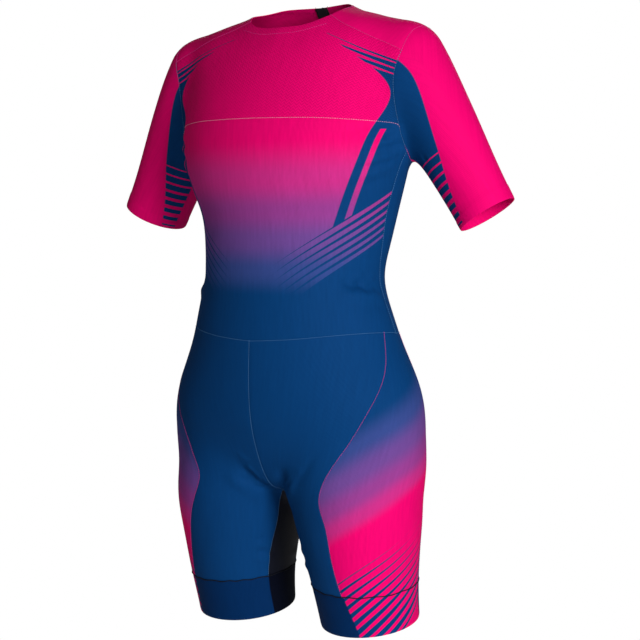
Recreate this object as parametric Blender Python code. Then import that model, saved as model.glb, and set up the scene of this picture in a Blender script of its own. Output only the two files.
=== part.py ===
# A one-piece speed skating skinsuit, filled out as it is worn.
# Metres. +X is the wearer's left, -Y the front, +Z up. The origin is on the midline at shoulder level.

import math

import bmesh
import bpy
import numpy as np
from mathutils import Matrix

# ---------------------------------------------------------------- driving sizes
WALL = 0.0012              # knit cloth
SEAM_GAP = 0.0003          # between two panels, and between layers
ZIP_HALF_GAP = 0.0055      # from the middle to a back panel's edge, where the coil shows

TAPE_REACH = 0.0100        # zip tape, from the middle
TAPE_WALL = 0.0010
TAPE_SINK = 0.0004         # tape and guard lie this much deeper at the neckline, where the back bends most
TAPE_SINK_HEIGHTS = (-0.090, -0.040)   # where that begins, and where it is whole
COIL_HALF_WIDTH = 0.0022
COIL_PROUD = 0.0002        # above the cloth's outer face
COIL_STOP = 0.0006         # above the waist seam
GUARD_TOP_HALF_WIDTH = 0.0078
GUARD_TOP_LENGTH = 0.030
GUARD_HALF_WIDTH = 0.0062
GUARD_RISE = 0.0015        # above the neckline
SLIDER_DROP = 0.0085       # below the neckline
SLIDER_SIZE = (0.0080, 0.0100, 0.0014)      # width, length, thickness
SLIDER_CORNER = 0.0022
SLIDER_LIFT = 0.0006       # from the cloth's face to the plate
LUG_INSIDE = 0.0020        # from the middle
LUG_WIDTH = 0.0009
LUG_LENGTH = 0.0040
LUG_ABOVE_PIN = 0.0012
PIN_HEIGHT = 0.0042
PIN_RADIUS = 0.0007
EYE_RADIUS = 0.0019
EYE_BORE = 0.0010
EYE_HALF_WIDTH = 0.0016
TAB_WALL = 0.0014
TAB_LENGTH = 0.0240
TAB_HALF_WIDTH = 0.0035
TAB_NECK_HALF_WIDTH = 0.0014
TAB_NECK_END = 0.0045      # below the pin, where the tab starts to widen
TAB_WIDE_START = 0.0095

FINISH_COLUMNS = ("colour", "roughness", "metallic")
FINISHES = {
    "knit": ((0.62, 0.02, 0.16), 0.55, 0.0),
    "mesh": ((0.62, 0.01, 0.14), 0.60, 0.0),
    "gripper": ((0.005, 0.012, 0.045), 0.60, 0.0),
    "tape": ((0.012, 0.011, 0.013), 0.70, 0.0),
    "coil": ((0.012, 0.011, 0.013), 0.35, 0.0),
    "metal": ((0.35, 0.35, 0.37), 0.35, 1.0),
}

# ---------------------------------------------------------------- the general figure that the cut fills
TORSO_COLUMNS = ("height", "half_width", "widest_y", "front_y", "back_y")
TORSO = (
    (-0.700, 0.165, 0.010, -0.055, 0.085),
    (-0.640, 0.182, 0.000, -0.080, 0.115),
    (-0.580, 0.188, -0.003, -0.107, 0.119),
    (-0.515, 0.177, 0.000, -0.117, 0.114),
    (-0.461, 0.154, -0.003, -0.116, 0.104),
    (-0.418, 0.140, -0.009, -0.114, 0.095),
    (-0.375, 0.129, -0.010, -0.113, 0.091),
    (-0.332, 0.133, 0.001, -0.111, 0.094),
    (-0.288, 0.143, 0.007, -0.111, 0.098),
    (-0.254, 0.155, 0.002, -0.118, 0.100),
    (-0.215, 0.166, -0.001, -0.121, 0.101),
    (-0.175, 0.169, 0.000, -0.118, 0.100),
    (-0.140, 0.168, 0.004, -0.109, 0.098),
    (-0.100, 0.170, 0.008, -0.093, 0.092),
    (-0.060, 0.178, 0.012, -0.075, 0.083),
    (-0.020, 0.190, 0.014, -0.057, 0.067),
    (0.020, 0.195, 0.014, -0.047, 0.054),
)
SHOULDER_COLUMNS = ("side", "height", "ridge_y")
SHOULDER = (
    (0.000, 0.006, 0.030),
    (0.050, -0.008, 0.026),
    (0.080, -0.021, 0.020),
    (0.105, -0.028, 0.018),
    (0.130, -0.036, 0.017),
    (0.187, -0.062, 0.014),
    (0.240, -0.093, 0.012),
)
SHOULDER_ROUND = 0.11      # radius of the shoulder's top, front to back
CROTCH_HEIGHT = -0.655

LEG_TOP = -0.560           # the leg closes into the torso above this
LEG_COLUMNS = ("height", "centre_x", "centre_y", "half_width", "half_depth")
LEG = (
    (-0.900, 0.103, 0.034, 0.0640, 0.0640),
    (-0.840, 0.101, 0.023, 0.0670, 0.0670),
    (-0.785, 0.100, 0.011, 0.0715, 0.0730),
    (-0.727, 0.097, 0.004, 0.0800, 0.0825),
    (-0.680, 0.094, 0.000, 0.0870, 0.0900),
    (-0.640, 0.090, 0.000, 0.0880, 0.0930),
    (-0.580, 0.084, 0.002, 0.0780, 0.0840),
)

SHOULDER_JOINT = np.array((0.158, 0.017, -0.094))
CUFF_CENTRE = np.array((0.270, 0.037, -0.292))
SLEEVE_TURN = math.radians(-30)     # the flattened arm's long side points forward and out
SLEEVE_COLUMNS = ("along", "half_long", "half_short")
SLEEVE = (
    (-0.050, 0.0500, 0.0460),
    (0.000, 0.0560, 0.0520),
    (0.060, 0.0560, 0.0500),
    (0.120, 0.0520, 0.0450),
    (0.180, 0.0470, 0.0400),
    (0.240, 0.0445, 0.0375),
    (0.300, 0.0420, 0.0360),
)
ARM_BLEND = 0.042          # how far the torso and the sleeve run into each other
LEG_BLEND = 0.040
ROOF_BLEND = 0.055

LEAN_COLUMNS = ("height", "rise_per_side")
LEAN = (                   # the left shoulder is worn a little higher than the right
    (-0.400, 0.000),
    (-0.300, 0.012),
    (-0.170, 0.018),
    (-0.080, 0.019),
    (0.000, 0.055),
)
NECK_SHIFT = 0.0115        # the front of the neckline is worn this far to the wearer's left
NECK_SHIFT_SIDE = (0.140, 0.055)       # where that has faded out, and where it is whole
NECK_SHIFT_DEEP = (0.012, -0.033)
NECK_SHIFT_HEIGHT = (-0.125, -0.055)

# ---------------------------------------------------------------- seams of the left half: x, y and z
NECK_SHOULDER = (0.063, -0.034, -0.034)
NECK_BACK_END = (ZIP_HALF_GAP, 0.058, -0.010)
SHOULDER_END = (0.178, -0.025, -0.083)
CHEST_END = (0.171, -0.016, -0.174)
UNDERARM = (0.170, 0.000, -0.194)
WAIST_MIDDLE = (0.000, -0.116, -0.454)
WAIST_PANEL_FRONT = (0.148, -0.018, -0.443)
WAIST_SIDE = (0.151, 0.014, -0.444)
WAIST_PANEL_BACK = (0.145, 0.046, -0.443)
WAIST_ZIP = (ZIP_HALF_GAP, 0.101, -0.436)
WAIST_CENTRE_BACK = (0.000, 0.101, -0.436)
CROTCH_FRONT = (0.000, -0.040, -0.664)
CROTCH_BACK = (0.000, 0.035, -0.670)

SEAMS = {
    "neck_front": ((0.000, -0.061, -0.044), (0.020, -0.0585, -0.044), (0.040, -0.0515, -0.0425),
                   NECK_SHOULDER),
    "neck_back": (NECK_BACK_END, (0.035, 0.0505, -0.011), (0.058, 0.038, -0.0135), (0.0705, 0.020, -0.018),
                  (0.0735, 0.000, -0.022), (0.070, -0.018, -0.0265), NECK_SHOULDER),
    "shoulder": (NECK_SHOULDER, (0.095, -0.040, -0.047), (0.121, -0.039, -0.056), (0.151, -0.036, -0.067),
                 SHOULDER_END),
    "armhole_front": (SHOULDER_END, (0.172, -0.031, -0.105), (0.170, -0.029, -0.138), CHEST_END),
    "armhole_low": (CHEST_END, UNDERARM),
    "armhole_back": (UNDERARM, (0.165, 0.026, -0.204), (0.162, 0.052, -0.190), (0.162, 0.066, -0.155),
                     (0.167, 0.064, -0.118), (0.177, 0.046, -0.082), (0.185, 0.016, -0.056),
                     (0.185, -0.008, -0.056), SHOULDER_END),
    "chest": ((0.000, -0.115, -0.164), (0.050, -0.112, -0.164), (0.095, -0.098, -0.165),
              (0.130, -0.075, -0.168), CHEST_END),
    "side": (WAIST_SIDE, (0.138, 0.008, -0.412), (0.130, 0.003, -0.375), (0.137, -0.001, -0.325),
             (0.147, -0.005, -0.285), (0.157, -0.007, -0.250), (0.165, -0.005, -0.220), UNDERARM),
    "waist_front": (WAIST_MIDDLE, (0.060, -0.110, -0.450), (0.115, -0.080, -0.444), WAIST_PANEL_FRONT),
    "waist_side_front": (WAIST_PANEL_FRONT, WAIST_SIDE),
    "waist_side_back": (WAIST_SIDE, WAIST_PANEL_BACK),
    "waist_back": (WAIST_PANEL_BACK, (0.110, 0.082, -0.441), (0.055, 0.098, -0.438), WAIST_ZIP),
    "waist_zip": (WAIST_ZIP, WAIST_CENTRE_BACK),
    "centre_front": (WAIST_MIDDLE, (0.000, -0.118, -0.515), (0.000, -0.110, -0.570), (0.000, -0.088, -0.625),
                     CROTCH_FRONT),
    "centre_back": (WAIST_CENTRE_BACK, (0.000, 0.116, -0.500), (0.000, 0.124, -0.560), (0.000, 0.108, -0.620),
                    CROTCH_BACK),
    "crotch": (CROTCH_FRONT, (0.000, -0.005, -0.672), CROTCH_BACK),
}
SIDE_PANEL_FRONT = (WAIST_PANEL_FRONT, (0.158, -0.034, -0.490), (0.160, -0.051, -0.516),
                    (0.151, -0.071, -0.550), (0.134, -0.085, -0.586), (0.112, -0.093, -0.617),
                    (0.099, -0.092, -0.640))
SIDE_PANEL_BACK = (WAIST_PANEL_BACK, (0.158, 0.055, -0.500), (0.166, 0.060, -0.560), (0.162, 0.060, -0.620))

LEG_SEAM_COLUMNS = ("height", "side_front", "side_back", "inner_back", "inner_front")
LEG_SEAMS = (              # degrees round the leg, from its front towards the outer side
    (-0.665, 5.0, 128.0, 228.0, 284.0),
    (-0.690, 9.5, 128.0, 228.0, 282.0),
    (-0.730, 14.0, 126.0, 228.0, 282.0),
    (-0.782, 21.0, 124.0, 228.0, 282.0),
    (-0.842, 28.0, 122.0, 228.0, 282.0),
)
LEG_SEAM_GUIDES = {        # the heights where each seam is led by its angle
    "side_front": (-0.665, -0.690, -0.730),
    "side_back": (-0.690, -0.735),
    "inner_front": (-0.700, -0.740),
    "inner_back": (-0.700, -0.740),
}
TWIST_COLUMNS = ("height", "degrees")
TWIST = ((-0.842, 9.0), (-0.782, 14.0), (-0.730, 11.0), (-0.690, 6.5), (-0.665, 4.0), (-0.620, 0.0))
CUFF_SEAM = {"middle": (0.099, 0.015, -0.780), "normal": (0.03, -0.14, 1.0)}
HEM = {"middle": (0.099, 0.022, -0.834), "normal": (0.00, -0.22, 1.0)}

# ---------------------------------------------------------------- faces along each seam
COUNTS = {
    "neck_front": 5, "neck_back": 5, "shoulder": 6, "chest": 11,
    "armhole_front": 6, "armhole_low": 1, "armhole_back": 14, "side": 13,
    "waist_front": 9, "waist_side_front": 2, "waist_side_back": 2, "waist_back": 9, "waist_zip": 1,
    "centre_front": 12, "centre_back": 12, "crotch": 4,
}
STEP_GROWTH = {"armhole_back": 1.4}      # above one, the steps grow from short ones at the seam's start
INNER_LEG_ROWS = 7         # crotch to cuff seam
INNER_PANEL_PARTS = 3      # the inner panel's rows for each of its neighbours'
SIDE_PANEL_PARTS = 3       # the side panel's faces for each face beside its narrow top
CUFF_ARCS = {"side_front": 6, "side_back": 10, "inner_back": 4, "inner_front": 9}
SLEEVE_ROWS = 12
CUFF_ROWS = 3

# ---------------------------------------------------------------- the largest folds, on both sides
FOLD_COLUMNS = ("start", "end", "rise", "width")
FOLDS = (
    ((0.036, -0.042, -0.738), (0.029, 0.040, -0.732), 0.0024, 0.0060),
    ((0.038, -0.044, -0.759), (0.031, 0.036, -0.756), 0.0022, 0.0055),
    ((0.150, -0.060, -0.186), (0.172, -0.020, -0.181), 0.0022, 0.0060),
    ((0.146, -0.066, -0.205), (0.170, -0.018, -0.192), 0.0024, 0.0060),
    ((0.142, -0.072, -0.226), (0.168, -0.014, -0.210), 0.0022, 0.0065),
    ((0.115, -0.090, -0.370), (0.131, -0.005, -0.379), -0.0030, 0.0080),
    ((0.112, -0.092, -0.390), (0.133, -0.005, -0.398), 0.0020, 0.0080),
    ((0.034, -0.094, -0.628), (0.004, -0.040, -0.664), -0.0040, 0.0080),
    ((0.050, -0.088, -0.642), (0.020, -0.035, -0.680), 0.0025, 0.0080),
)


# ---------------------------------------------------------------- curves and smooth shapes
class SmoothCurve:
    """A natural cubic curve through values at rising knots, flat outside them."""

    def __init__(self, knots, values):
        self.knots = np.array(knots, dtype=float)
        self.values = np.array(values, dtype=float).reshape(len(self.knots), -1)
        step = np.diff(self.knots)
        slope = np.diff(self.values, axis=0) / step[:, None]
        matrix = np.eye(len(self.knots))
        right = np.zeros_like(self.values)
        for i in range(1, len(self.knots) - 1):
            matrix[i, i - 1:i + 2] = step[i - 1], 2 * (step[i - 1] + step[i]), step[i]
            right[i] = 6 * (slope[i] - slope[i - 1])
        self.bend = np.linalg.solve(matrix, right)

    def __call__(self, at):
        at = np.clip(np.asarray(at, dtype=float), self.knots[0], self.knots[-1])
        i = np.clip(np.searchsorted(self.knots, at) - 1, 0, len(self.knots) - 2)
        step = (self.knots[i + 1] - self.knots[i])[..., None]
        after = (at - self.knots[i])[..., None] / step
        before = 1 - after
        line = before * self.values[i] + after * self.values[i + 1]
        bend = (before**3 - before) * self.bend[i] + (after**3 - after) * self.bend[i + 1]
        value = line + bend * step**2 / 6
        return value[..., 0] if value.shape[-1] == 1 else value


def curves(table, columns):
    """One curve for each column of a table after its first, which holds the knots."""
    rows = sorted(table)
    knots = [row[0] for row in rows]
    return {name: SmoothCurve(knots, [row[k] for row in rows]) for k, name in enumerate(columns) if k}


def smooth_max(a, b, blend):
    overlap = np.maximum(blend - np.abs(a - b), 0.0) / blend
    return np.maximum(a, b) + overlap**3 * blend / 6


def smooth_min(a, b, blend):
    return -smooth_max(-a, -b, blend)


def outside_of_oval(across, deep, half_across, half_deep, cap=0.0, cap_reach=1.0):
    """How far a point lies outside an oval, measured along the ray from its centre."""
    ratio = np.sqrt((across / half_across)**2 + (deep / half_deep)**2 + (cap / cap_reach)**2)
    reach = np.sqrt(across**2 + deep**2 + cap**2)
    return reach * (1 - 1 / np.maximum(ratio, 1e-4))


def unit(vector):
    return vector / np.linalg.norm(vector, axis=-1, keepdims=True)


torso_at = curves(TORSO, TORSO_COLUMNS)
shoulder_at = curves(SHOULDER, SHOULDER_COLUMNS)
leg_at = curves(LEG, LEG_COLUMNS)
sleeve_at = curves(SLEEVE, SLEEVE_COLUMNS)
leg_seam_at = curves(LEG_SEAMS, LEG_SEAM_COLUMNS)
twist_at = curves(TWIST, TWIST_COLUMNS)["degrees"]
lean_at = curves(LEAN, LEAN_COLUMNS)["rise_per_side"]

arm_length = np.linalg.norm(CUFF_CENTRE - SHOULDER_JOINT)
arm_axis = unit(CUFF_CENTRE - SHOULDER_JOINT)
turned = np.array((math.cos(SLEEVE_TURN), math.sin(SLEEVE_TURN), 0.0))
arm_long = unit(turned - arm_axis * turned.dot(arm_axis))
arm_short = np.cross(arm_axis, arm_long)


def torso_form(x, y, z):
    widest = torso_at["widest_y"](z)
    deep = np.where(y < widest, widest - torso_at["front_y"](z), torso_at["back_y"](z) - widest)
    side = outside_of_oval(x, y - widest, torso_at["half_width"](z), deep)
    ridge = y - shoulder_at["ridge_y"](x)
    roof = z - shoulder_at["height"](x) + ridge**2 / (2 * SHOULDER_ROUND)
    return smooth_max(smooth_max(side, roof, ROOF_BLEND), CROTCH_HEIGHT - z, ROOF_BLEND)


def leg_form(x, y, z):
    wide = leg_at["half_width"](z)
    across, deep = x - leg_at["centre_x"](z), y - leg_at["centre_y"](z)
    return outside_of_oval(across, deep, wide, leg_at["half_depth"](z), np.maximum(z - LEG_TOP, 0.0), wide)


def sleeve_form(x, y, z):
    away = np.stack((x, y, z), axis=-1) - SHOULDER_JOINT
    along = away @ arm_axis
    wide, thick = sleeve_at["half_long"](along), sleeve_at["half_short"](along)
    return outside_of_oval(away @ arm_long, away @ arm_short, wide, thick, np.minimum(along, 0.0), thick)


def form(points):
    """Below zero inside the figure, zero on the cloth's outer face."""
    x, y, z = np.abs(points[..., 0]), points[..., 1], points[..., 2]
    body = smooth_min(torso_form(x, y, z), leg_form(x, y, z), LEG_BLEND)
    body = smooth_min(body, leg_form(-x, y, z), LEG_BLEND)
    return smooth_min(body, sleeve_form(x, y, z), ARM_BLEND)


def slope_of_form(points, step=1e-4):
    slopes = [(form(points + shift) - form(points - shift)) / (2 * step) for shift in np.eye(3) * step]
    return np.stack(slopes, axis=-1)


def settle(points, plane=None, rounds=8):
    """Moves points along the form's slope until they lie on it, within a plane if its normal is given."""
    points = np.array(points, dtype=float)
    for _ in range(rounds):
        slope = slope_of_form(points)
        if plane is not None:
            slope = slope - plane * (slope @ plane)[..., None]
        size = np.maximum((slope**2).sum(axis=-1), 1e-6)
        points = points - slope * np.clip(form(points) / size, -0.02, 0.02)[..., None]
    return points


def fold_height(points):
    height = np.zeros(points.shape[:-1])
    for fold in (dict(zip(FOLD_COLUMNS, row)) for row in FOLDS):
        for side in (1, -1):
            start, end = (np.array(fold[name]) * (side, 1, 1) for name in ("start", "end"))
            line = end - start
            along = np.clip((points - start) @ line / (line @ line), 0, 1)
            off = np.linalg.norm(points - start - along[..., None] * line, axis=-1)
            fade = np.sin(math.pi * (0.15 + 0.7 * along))
            height += fold["rise"] * fade * np.exp(-(off / fold["width"])**2)
    return height


def dressed(points):
    """Points raised by the folds, each followed by its normal."""
    normals = unit(slope_of_form(points))
    return np.concatenate((points + normals * fold_height(points)[..., None], normals), axis=-1)


# ---------------------------------------------------------------- seams
def reach_along(line):
    return np.concatenate(([0.0], np.cumsum(np.linalg.norm(np.diff(line[:, :3], axis=0), axis=1))))


def spread(line, count, growth=1.0):
    """The same line in count steps, equal or growing."""
    reach = reach_along(line)
    at = reach[-1] * np.linspace(0, 1, count + 1)**growth
    return np.stack([np.interp(at, reach, line[:, k]) for k in range(3)], axis=1)


def seam(guides, count, side=1, growth=1.0):
    """A line on the form through guide points, in count steps, dressed."""
    guides = np.array(guides, dtype=float) * (side, 1, 1)
    reach = reach_along(guides)
    line = spread(settle(SmoothCurve(reach, guides)(np.linspace(0, reach[-1], 120))), count, growth)
    line[0], line[-1] = guides[0], guides[-1]
    line = settle(line)
    if not guides[:, 0].any():
        line[:, 0] = 0.0
    return dressed(line)


def named_seam(name, side=1):
    return seam(SEAMS[name], COUNTS[name], side, STEP_GROWTH.get(name, 1.0))


def join(*lines):
    return np.concatenate([lines[0]] + [line[1:] for line in lines[1:]])


MIRROR = np.array((-1, 1, 1, -1, 1, 1))


def whole(line):
    """A line from the right half through the middle to the left half."""
    return join(line[::-1] * MIRROR, line)


def refined(line, parts):
    """Splits each step of a line into equal parts, straight along it."""
    at = np.linspace(0, len(line) - 1, (len(line) - 1) * parts + 1)
    return np.stack([np.interp(at, np.arange(len(line)), line[:, k]) for k in range(6)], axis=1)


def seam_angle(name, height, side):
    """The cloth of both legs is turned a little towards the wearer's right."""
    return float(leg_seam_at[name](height)) - side * float(twist_at(height))


def leg_point(degrees, side, height=None, plane=None):
    """A point beside the leg, by its angle from the front round the outer side, at a height or on a plane."""
    turn = math.radians(degrees)
    if plane:
        height = plane["middle"][2]
    for _ in range(5):
        x = float(leg_at["centre_x"](height) + leg_at["half_width"](height) * math.sin(turn))
        y = float(leg_at["centre_y"](height) - leg_at["half_depth"](height) * math.cos(turn))
        if plane:
            (mx, my, mz), (nx, ny, nz) = plane["middle"], plane["normal"]
            height = mz - (nx * (x - mx) + ny * (y - my)) / nz
    return np.array((side * x, y, height))


def leg_ring(plane, angles, side):
    """A ring round the leg in a plane, through the given angles, dressed."""
    normal = unit(np.array(plane["normal"]) * (side, 1, 1))
    return dressed(settle([leg_point(angle, side, plane=plane) for angle in angles], plane=normal))


# ---------------------------------------------------------------- panels
def fill(bottom, top, left, right, relax=12):
    """A grid of points on the form between four dressed edges, rows from bottom to top."""
    b, t, l, r = (line[:, :3] for line in (bottom, top, left, right))
    u_low, u_high, v_left, v_right = (reach_along(line) / reach_along(line)[-1] for line in (b, t, l, r))
    level, place = np.linspace(0, 1, len(l))[:, None], np.linspace(0, 1, len(b))[None, :]
    u = ((1 - level) * u_low + level * u_high)[..., None]
    v = ((1 - place) * v_left[:, None] + place * v_right[:, None])[..., None]
    corners = (1 - u) * (1 - v) * b[0] + u * (1 - v) * b[-1] + (1 - u) * v * t[0] + u * v * t[-1]
    points = (1 - v) * b + v * t + (1 - u) * l[:, None] + u * r[:, None] - corners
    points[0], points[-1], points[:, 0], points[:, -1] = b, t, l, r
    for _ in range(relax):
        points[1:-1, 1:-1] = settle(points[1:-1, 1:-1], rounds=3)
        beside = points[:-2, 1:-1] + points[2:, 1:-1] + points[1:-1, :-2] + points[1:-1, 2:]
        points[1:-1, 1:-1] = beside / 4
    grid = np.zeros(points.shape[:2] + (6,))
    grid[1:-1, 1:-1] = dressed(settle(points[1:-1, 1:-1]))
    grid[0], grid[-1], grid[:, 0], grid[:, -1] = bottom, top, left, right
    return grid


def around(top, bottom, rows, relax=10):
    """A tube of points on the form between two dressed rings."""
    level = np.linspace(0, 1, rows + 1)[:, None, None]
    points = (1 - level) * top[None, :, :3] + level * bottom[None, :, :3]
    for _ in range(relax):
        points[1:-1] = settle(points[1:-1], rounds=3)
        beside = (np.roll(points, 1, axis=1) + np.roll(points, -1, axis=1))[1:-1] + points[:-2] + points[2:]
        points[1:-1] = beside / 4
    grid = np.zeros(points.shape[:2] + (6,))
    grid[1:-1] = dressed(settle(points[1:-1]))
    grid[0], grid[-1] = top, bottom
    return grid


def drawn_in(ring, inward):
    """How a closed edge moves inwards by half the seam gap, mitred at its corners."""
    points, normals = ring[:, :3], ring[:, 3:]
    behind, ahead = points - np.roll(points, 1, axis=0), np.roll(points, -1, axis=0) - points
    before, after = unit(np.cross(normals, behind)), unit(np.cross(normals, ahead))
    sign = 1 if (before * inward).sum() > 0 else -1
    share = np.maximum(1 + (before * after).sum(axis=1), 0.3)
    return sign * (before + after) / share[:, None] * SEAM_GAP / 2


def parted(grid, tube):
    """The grid with its edges drawn in, so that neighbours stay a seam gap apart."""
    grid = grid.copy()
    points = grid[..., :3].copy()
    if tube:
        grid[0, :, :3] += drawn_in(grid[0], points[1] - points[0])
        grid[-1, :, :3] += drawn_in(grid[-1], points[-2] - points[-1])
        return grid
    rows, across = points.shape[:2]
    ring = [(0, i) for i in range(across)] + [(j, across - 1) for j in range(1, rows)]
    ring += [(rows - 1, i) for i in range(across - 2, -1, -1)] + [(j, 0) for j in range(rows - 2, 0, -1)]
    j, i = np.array(ring).T
    inner = points.mean(axis=(0, 1))
    if across > 2:
        inner = points[np.clip(j, 1, rows - 2), np.clip(i, 1, across - 2)]
    grid[j, i, :3] += drawn_in(grid[j, i], inner - points[j, i])
    return grid


def smooth_step(values):
    values = np.clip(values, 0.0, 1.0)
    return values**2 * (3 - 2 * values)


def neck_shift(points):
    """How far each point moves to the wearer's left: most round the neck's front, fading out from there."""
    places = (np.abs(points[..., 0]), points[..., 1], points[..., 2])
    near = NECK_SHIFT
    for place, (gone, full) in zip(places, (NECK_SHIFT_SIDE, NECK_SHIFT_DEEP, NECK_SHIFT_HEIGHT)):
        near = near * smooth_step((place - gone) / (full - gone))
    return near


def leaned(grid):
    """The grid as it is worn: its neck a little to the left, its left side raised and its right lowered."""
    grid = grid.copy()
    points = grid[..., :3].copy()
    step = 1e-4
    slope = np.stack([(neck_shift(points + move) - neck_shift(points - move)) / (2 * step)
                      for move in np.eye(3) * step], axis=-1)
    grid[..., 3:] -= slope * (grid[..., 3] / (1 + slope[..., 0]))[..., None]
    grid[..., 0] += neck_shift(points)
    rise = lean_at(grid[..., 2])
    grid[..., 2] += rise * grid[..., 0]
    grid[..., 3] -= rise * grid[..., 5]
    grid[..., 3:] = unit(grid[..., 3:])
    return grid


def cloth(name, grid, kind, suit, tube=False, wall=WALL, depth=0.0):
    """A closed wall: the grid's outer face, and the same grid set in along the form's own normals, so that
    neighbouring panels keep their gap right through the wall."""
    grid = leaned(parted(grid, tube))
    if tube:
        grid = np.concatenate((grid, grid[:, :1]), axis=1)
    rows, across = grid.shape[:2]
    spots = grid.reshape(-1, 6)
    shell = bmesh.new()
    bmesh.ops.create_grid(shell, x_segments=across - 1, y_segments=rows - 1, size=0.5)
    place = shell.verts.layers.int.new("place")
    for i, v in enumerate(sorted(shell.verts, key=lambda v: (round(v.co.y, 5), round(v.co.x, 5)))):
        v[place] = i
        v.co = spots[i, :3] - spots[i, 3:] * depth
    if tube:
        bmesh.ops.remove_doubles(shell, verts=list(shell.verts), dist=1e-6)
    made = bmesh.ops.extrude_face_region(shell, geom=list(shell.faces), use_keep_orig=True)["geom"]
    for v in [part for part in made if isinstance(part, bmesh.types.BMVert)]:
        v.co = spots[v[place], :3] - spots[v[place], 3:] * (depth + wall)
    bmesh.ops.recalc_face_normals(shell, faces=list(shell.faces))
    return add_mesh(name, shell, kind, suit)


def add_mesh(name, shell, kind, suit):
    mesh = bpy.data.meshes.new(name)
    shell.to_mesh(mesh)
    shell.free()
    mesh.shade_smooth()
    mesh.set_sharp_from_angle(angle=math.radians(50))
    mesh.materials.append(material(name, kind))
    made = bpy.data.objects.new(name, mesh)
    suit.objects.link(made)
    return made


def material(name, kind):
    finish = dict(zip(FINISH_COLUMNS, FINISHES[kind]))
    made = bpy.data.materials.new(name + "_" + kind)
    made.use_nodes = True
    shader = made.node_tree.nodes["Principled BSDF"]
    shader.inputs["Base Color"].default_value = (*finish["colour"], 1.0)
    shader.inputs["Roughness"].default_value = finish["roughness"]
    shader.inputs["Metallic"].default_value = finish["metallic"]
    return made


# ---------------------------------------------------------------- bodice and sleeves
def zip_line(count):
    """The back panel's edge beside the zip, from the waist seam up to the neck, dressed."""
    heights = np.linspace(WAIST_ZIP[2], NECK_BACK_END[2], 80)
    guides = np.stack((np.full(80, ZIP_HALF_GAP), torso_at["back_y"](heights), heights), axis=1)
    line = spread(settle(guides), count)
    line[0], line[-1] = WAIST_ZIP, NECK_BACK_END
    return dressed(settle(line))


def add_bodice(suit):
    line = {name: named_seam(name) for name in SEAMS}
    front_half = join(line["waist_front"], line["waist_side_front"])
    front_edge = join(line["side"], line["armhole_low"][::-1])
    front = fill(whole(front_half), whole(line["chest"]), front_edge * MIRROR, front_edge)
    cloth("front_body", front, "knit", suit)

    top = join(line["neck_front"], line["shoulder"])
    armhole_up = line["armhole_front"][::-1]
    chest = fill(whole(line["chest"]), whole(top), armhole_up * MIRROR, armhole_up)
    cloth("front_chest", chest, "mesh", suit)

    waist_half = join(line["waist_back"][::-1], line["waist_side_back"][::-1])
    zip_edge = zip_line(COUNTS["side"] + COUNTS["armhole_back"])
    zip_edge[0], zip_edge[-1] = line["waist_back"][-1], line["neck_back"][0]
    back = fill(waist_half, join(line["neck_back"], line["shoulder"]), zip_edge,
                join(line["side"], line["armhole_back"]))
    armhole = join(line["armhole_front"], line["armhole_low"], line["armhole_back"])[:-1]
    sleeve = around(armhole, sleeve_hem(armhole), SLEEVE_ROWS)
    for name, turn in (("left", 1), ("right", MIRROR)):
        cloth("back_" + name, back * turn, "knit", suit)
        cloth("sleeve_" + name, sleeve * turn, "knit", suit, tube=True)
    add_zip(zip_edge, suit)


def sleeve_hem(armhole):
    """The hem ring, each point about below its own point of the armhole."""
    away = armhole[:, :3] - SHOULDER_JOINT
    turns = np.unwrap(np.arctan2(away @ arm_short, away @ arm_long))
    even = turns[0] + math.copysign(math.tau, turns[-1] - turns[0]) * np.arange(len(turns)) / len(turns)
    turns = even + (turns - even).mean()
    wide = arm_long * sleeve_at["half_long"](arm_length)
    thick = arm_short * sleeve_at["half_short"](arm_length)
    ring = [CUFF_CENTRE + wide * math.cos(turn) + thick * math.sin(turn) for turn in turns]
    return dressed(settle(ring, plane=arm_axis))


# ---------------------------------------------------------------- legs
def leg_seam(start, name, heights, end, count, side):
    """A seam from guide points on down the leg, through its angles at some heights, to the cuff seam."""
    guides = [np.array(point) * (side, 1, 1) for point in start]
    guides += [leg_point(seam_angle(name, height, side), side, height) for height in heights]
    return seam(guides + [end], count)


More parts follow.
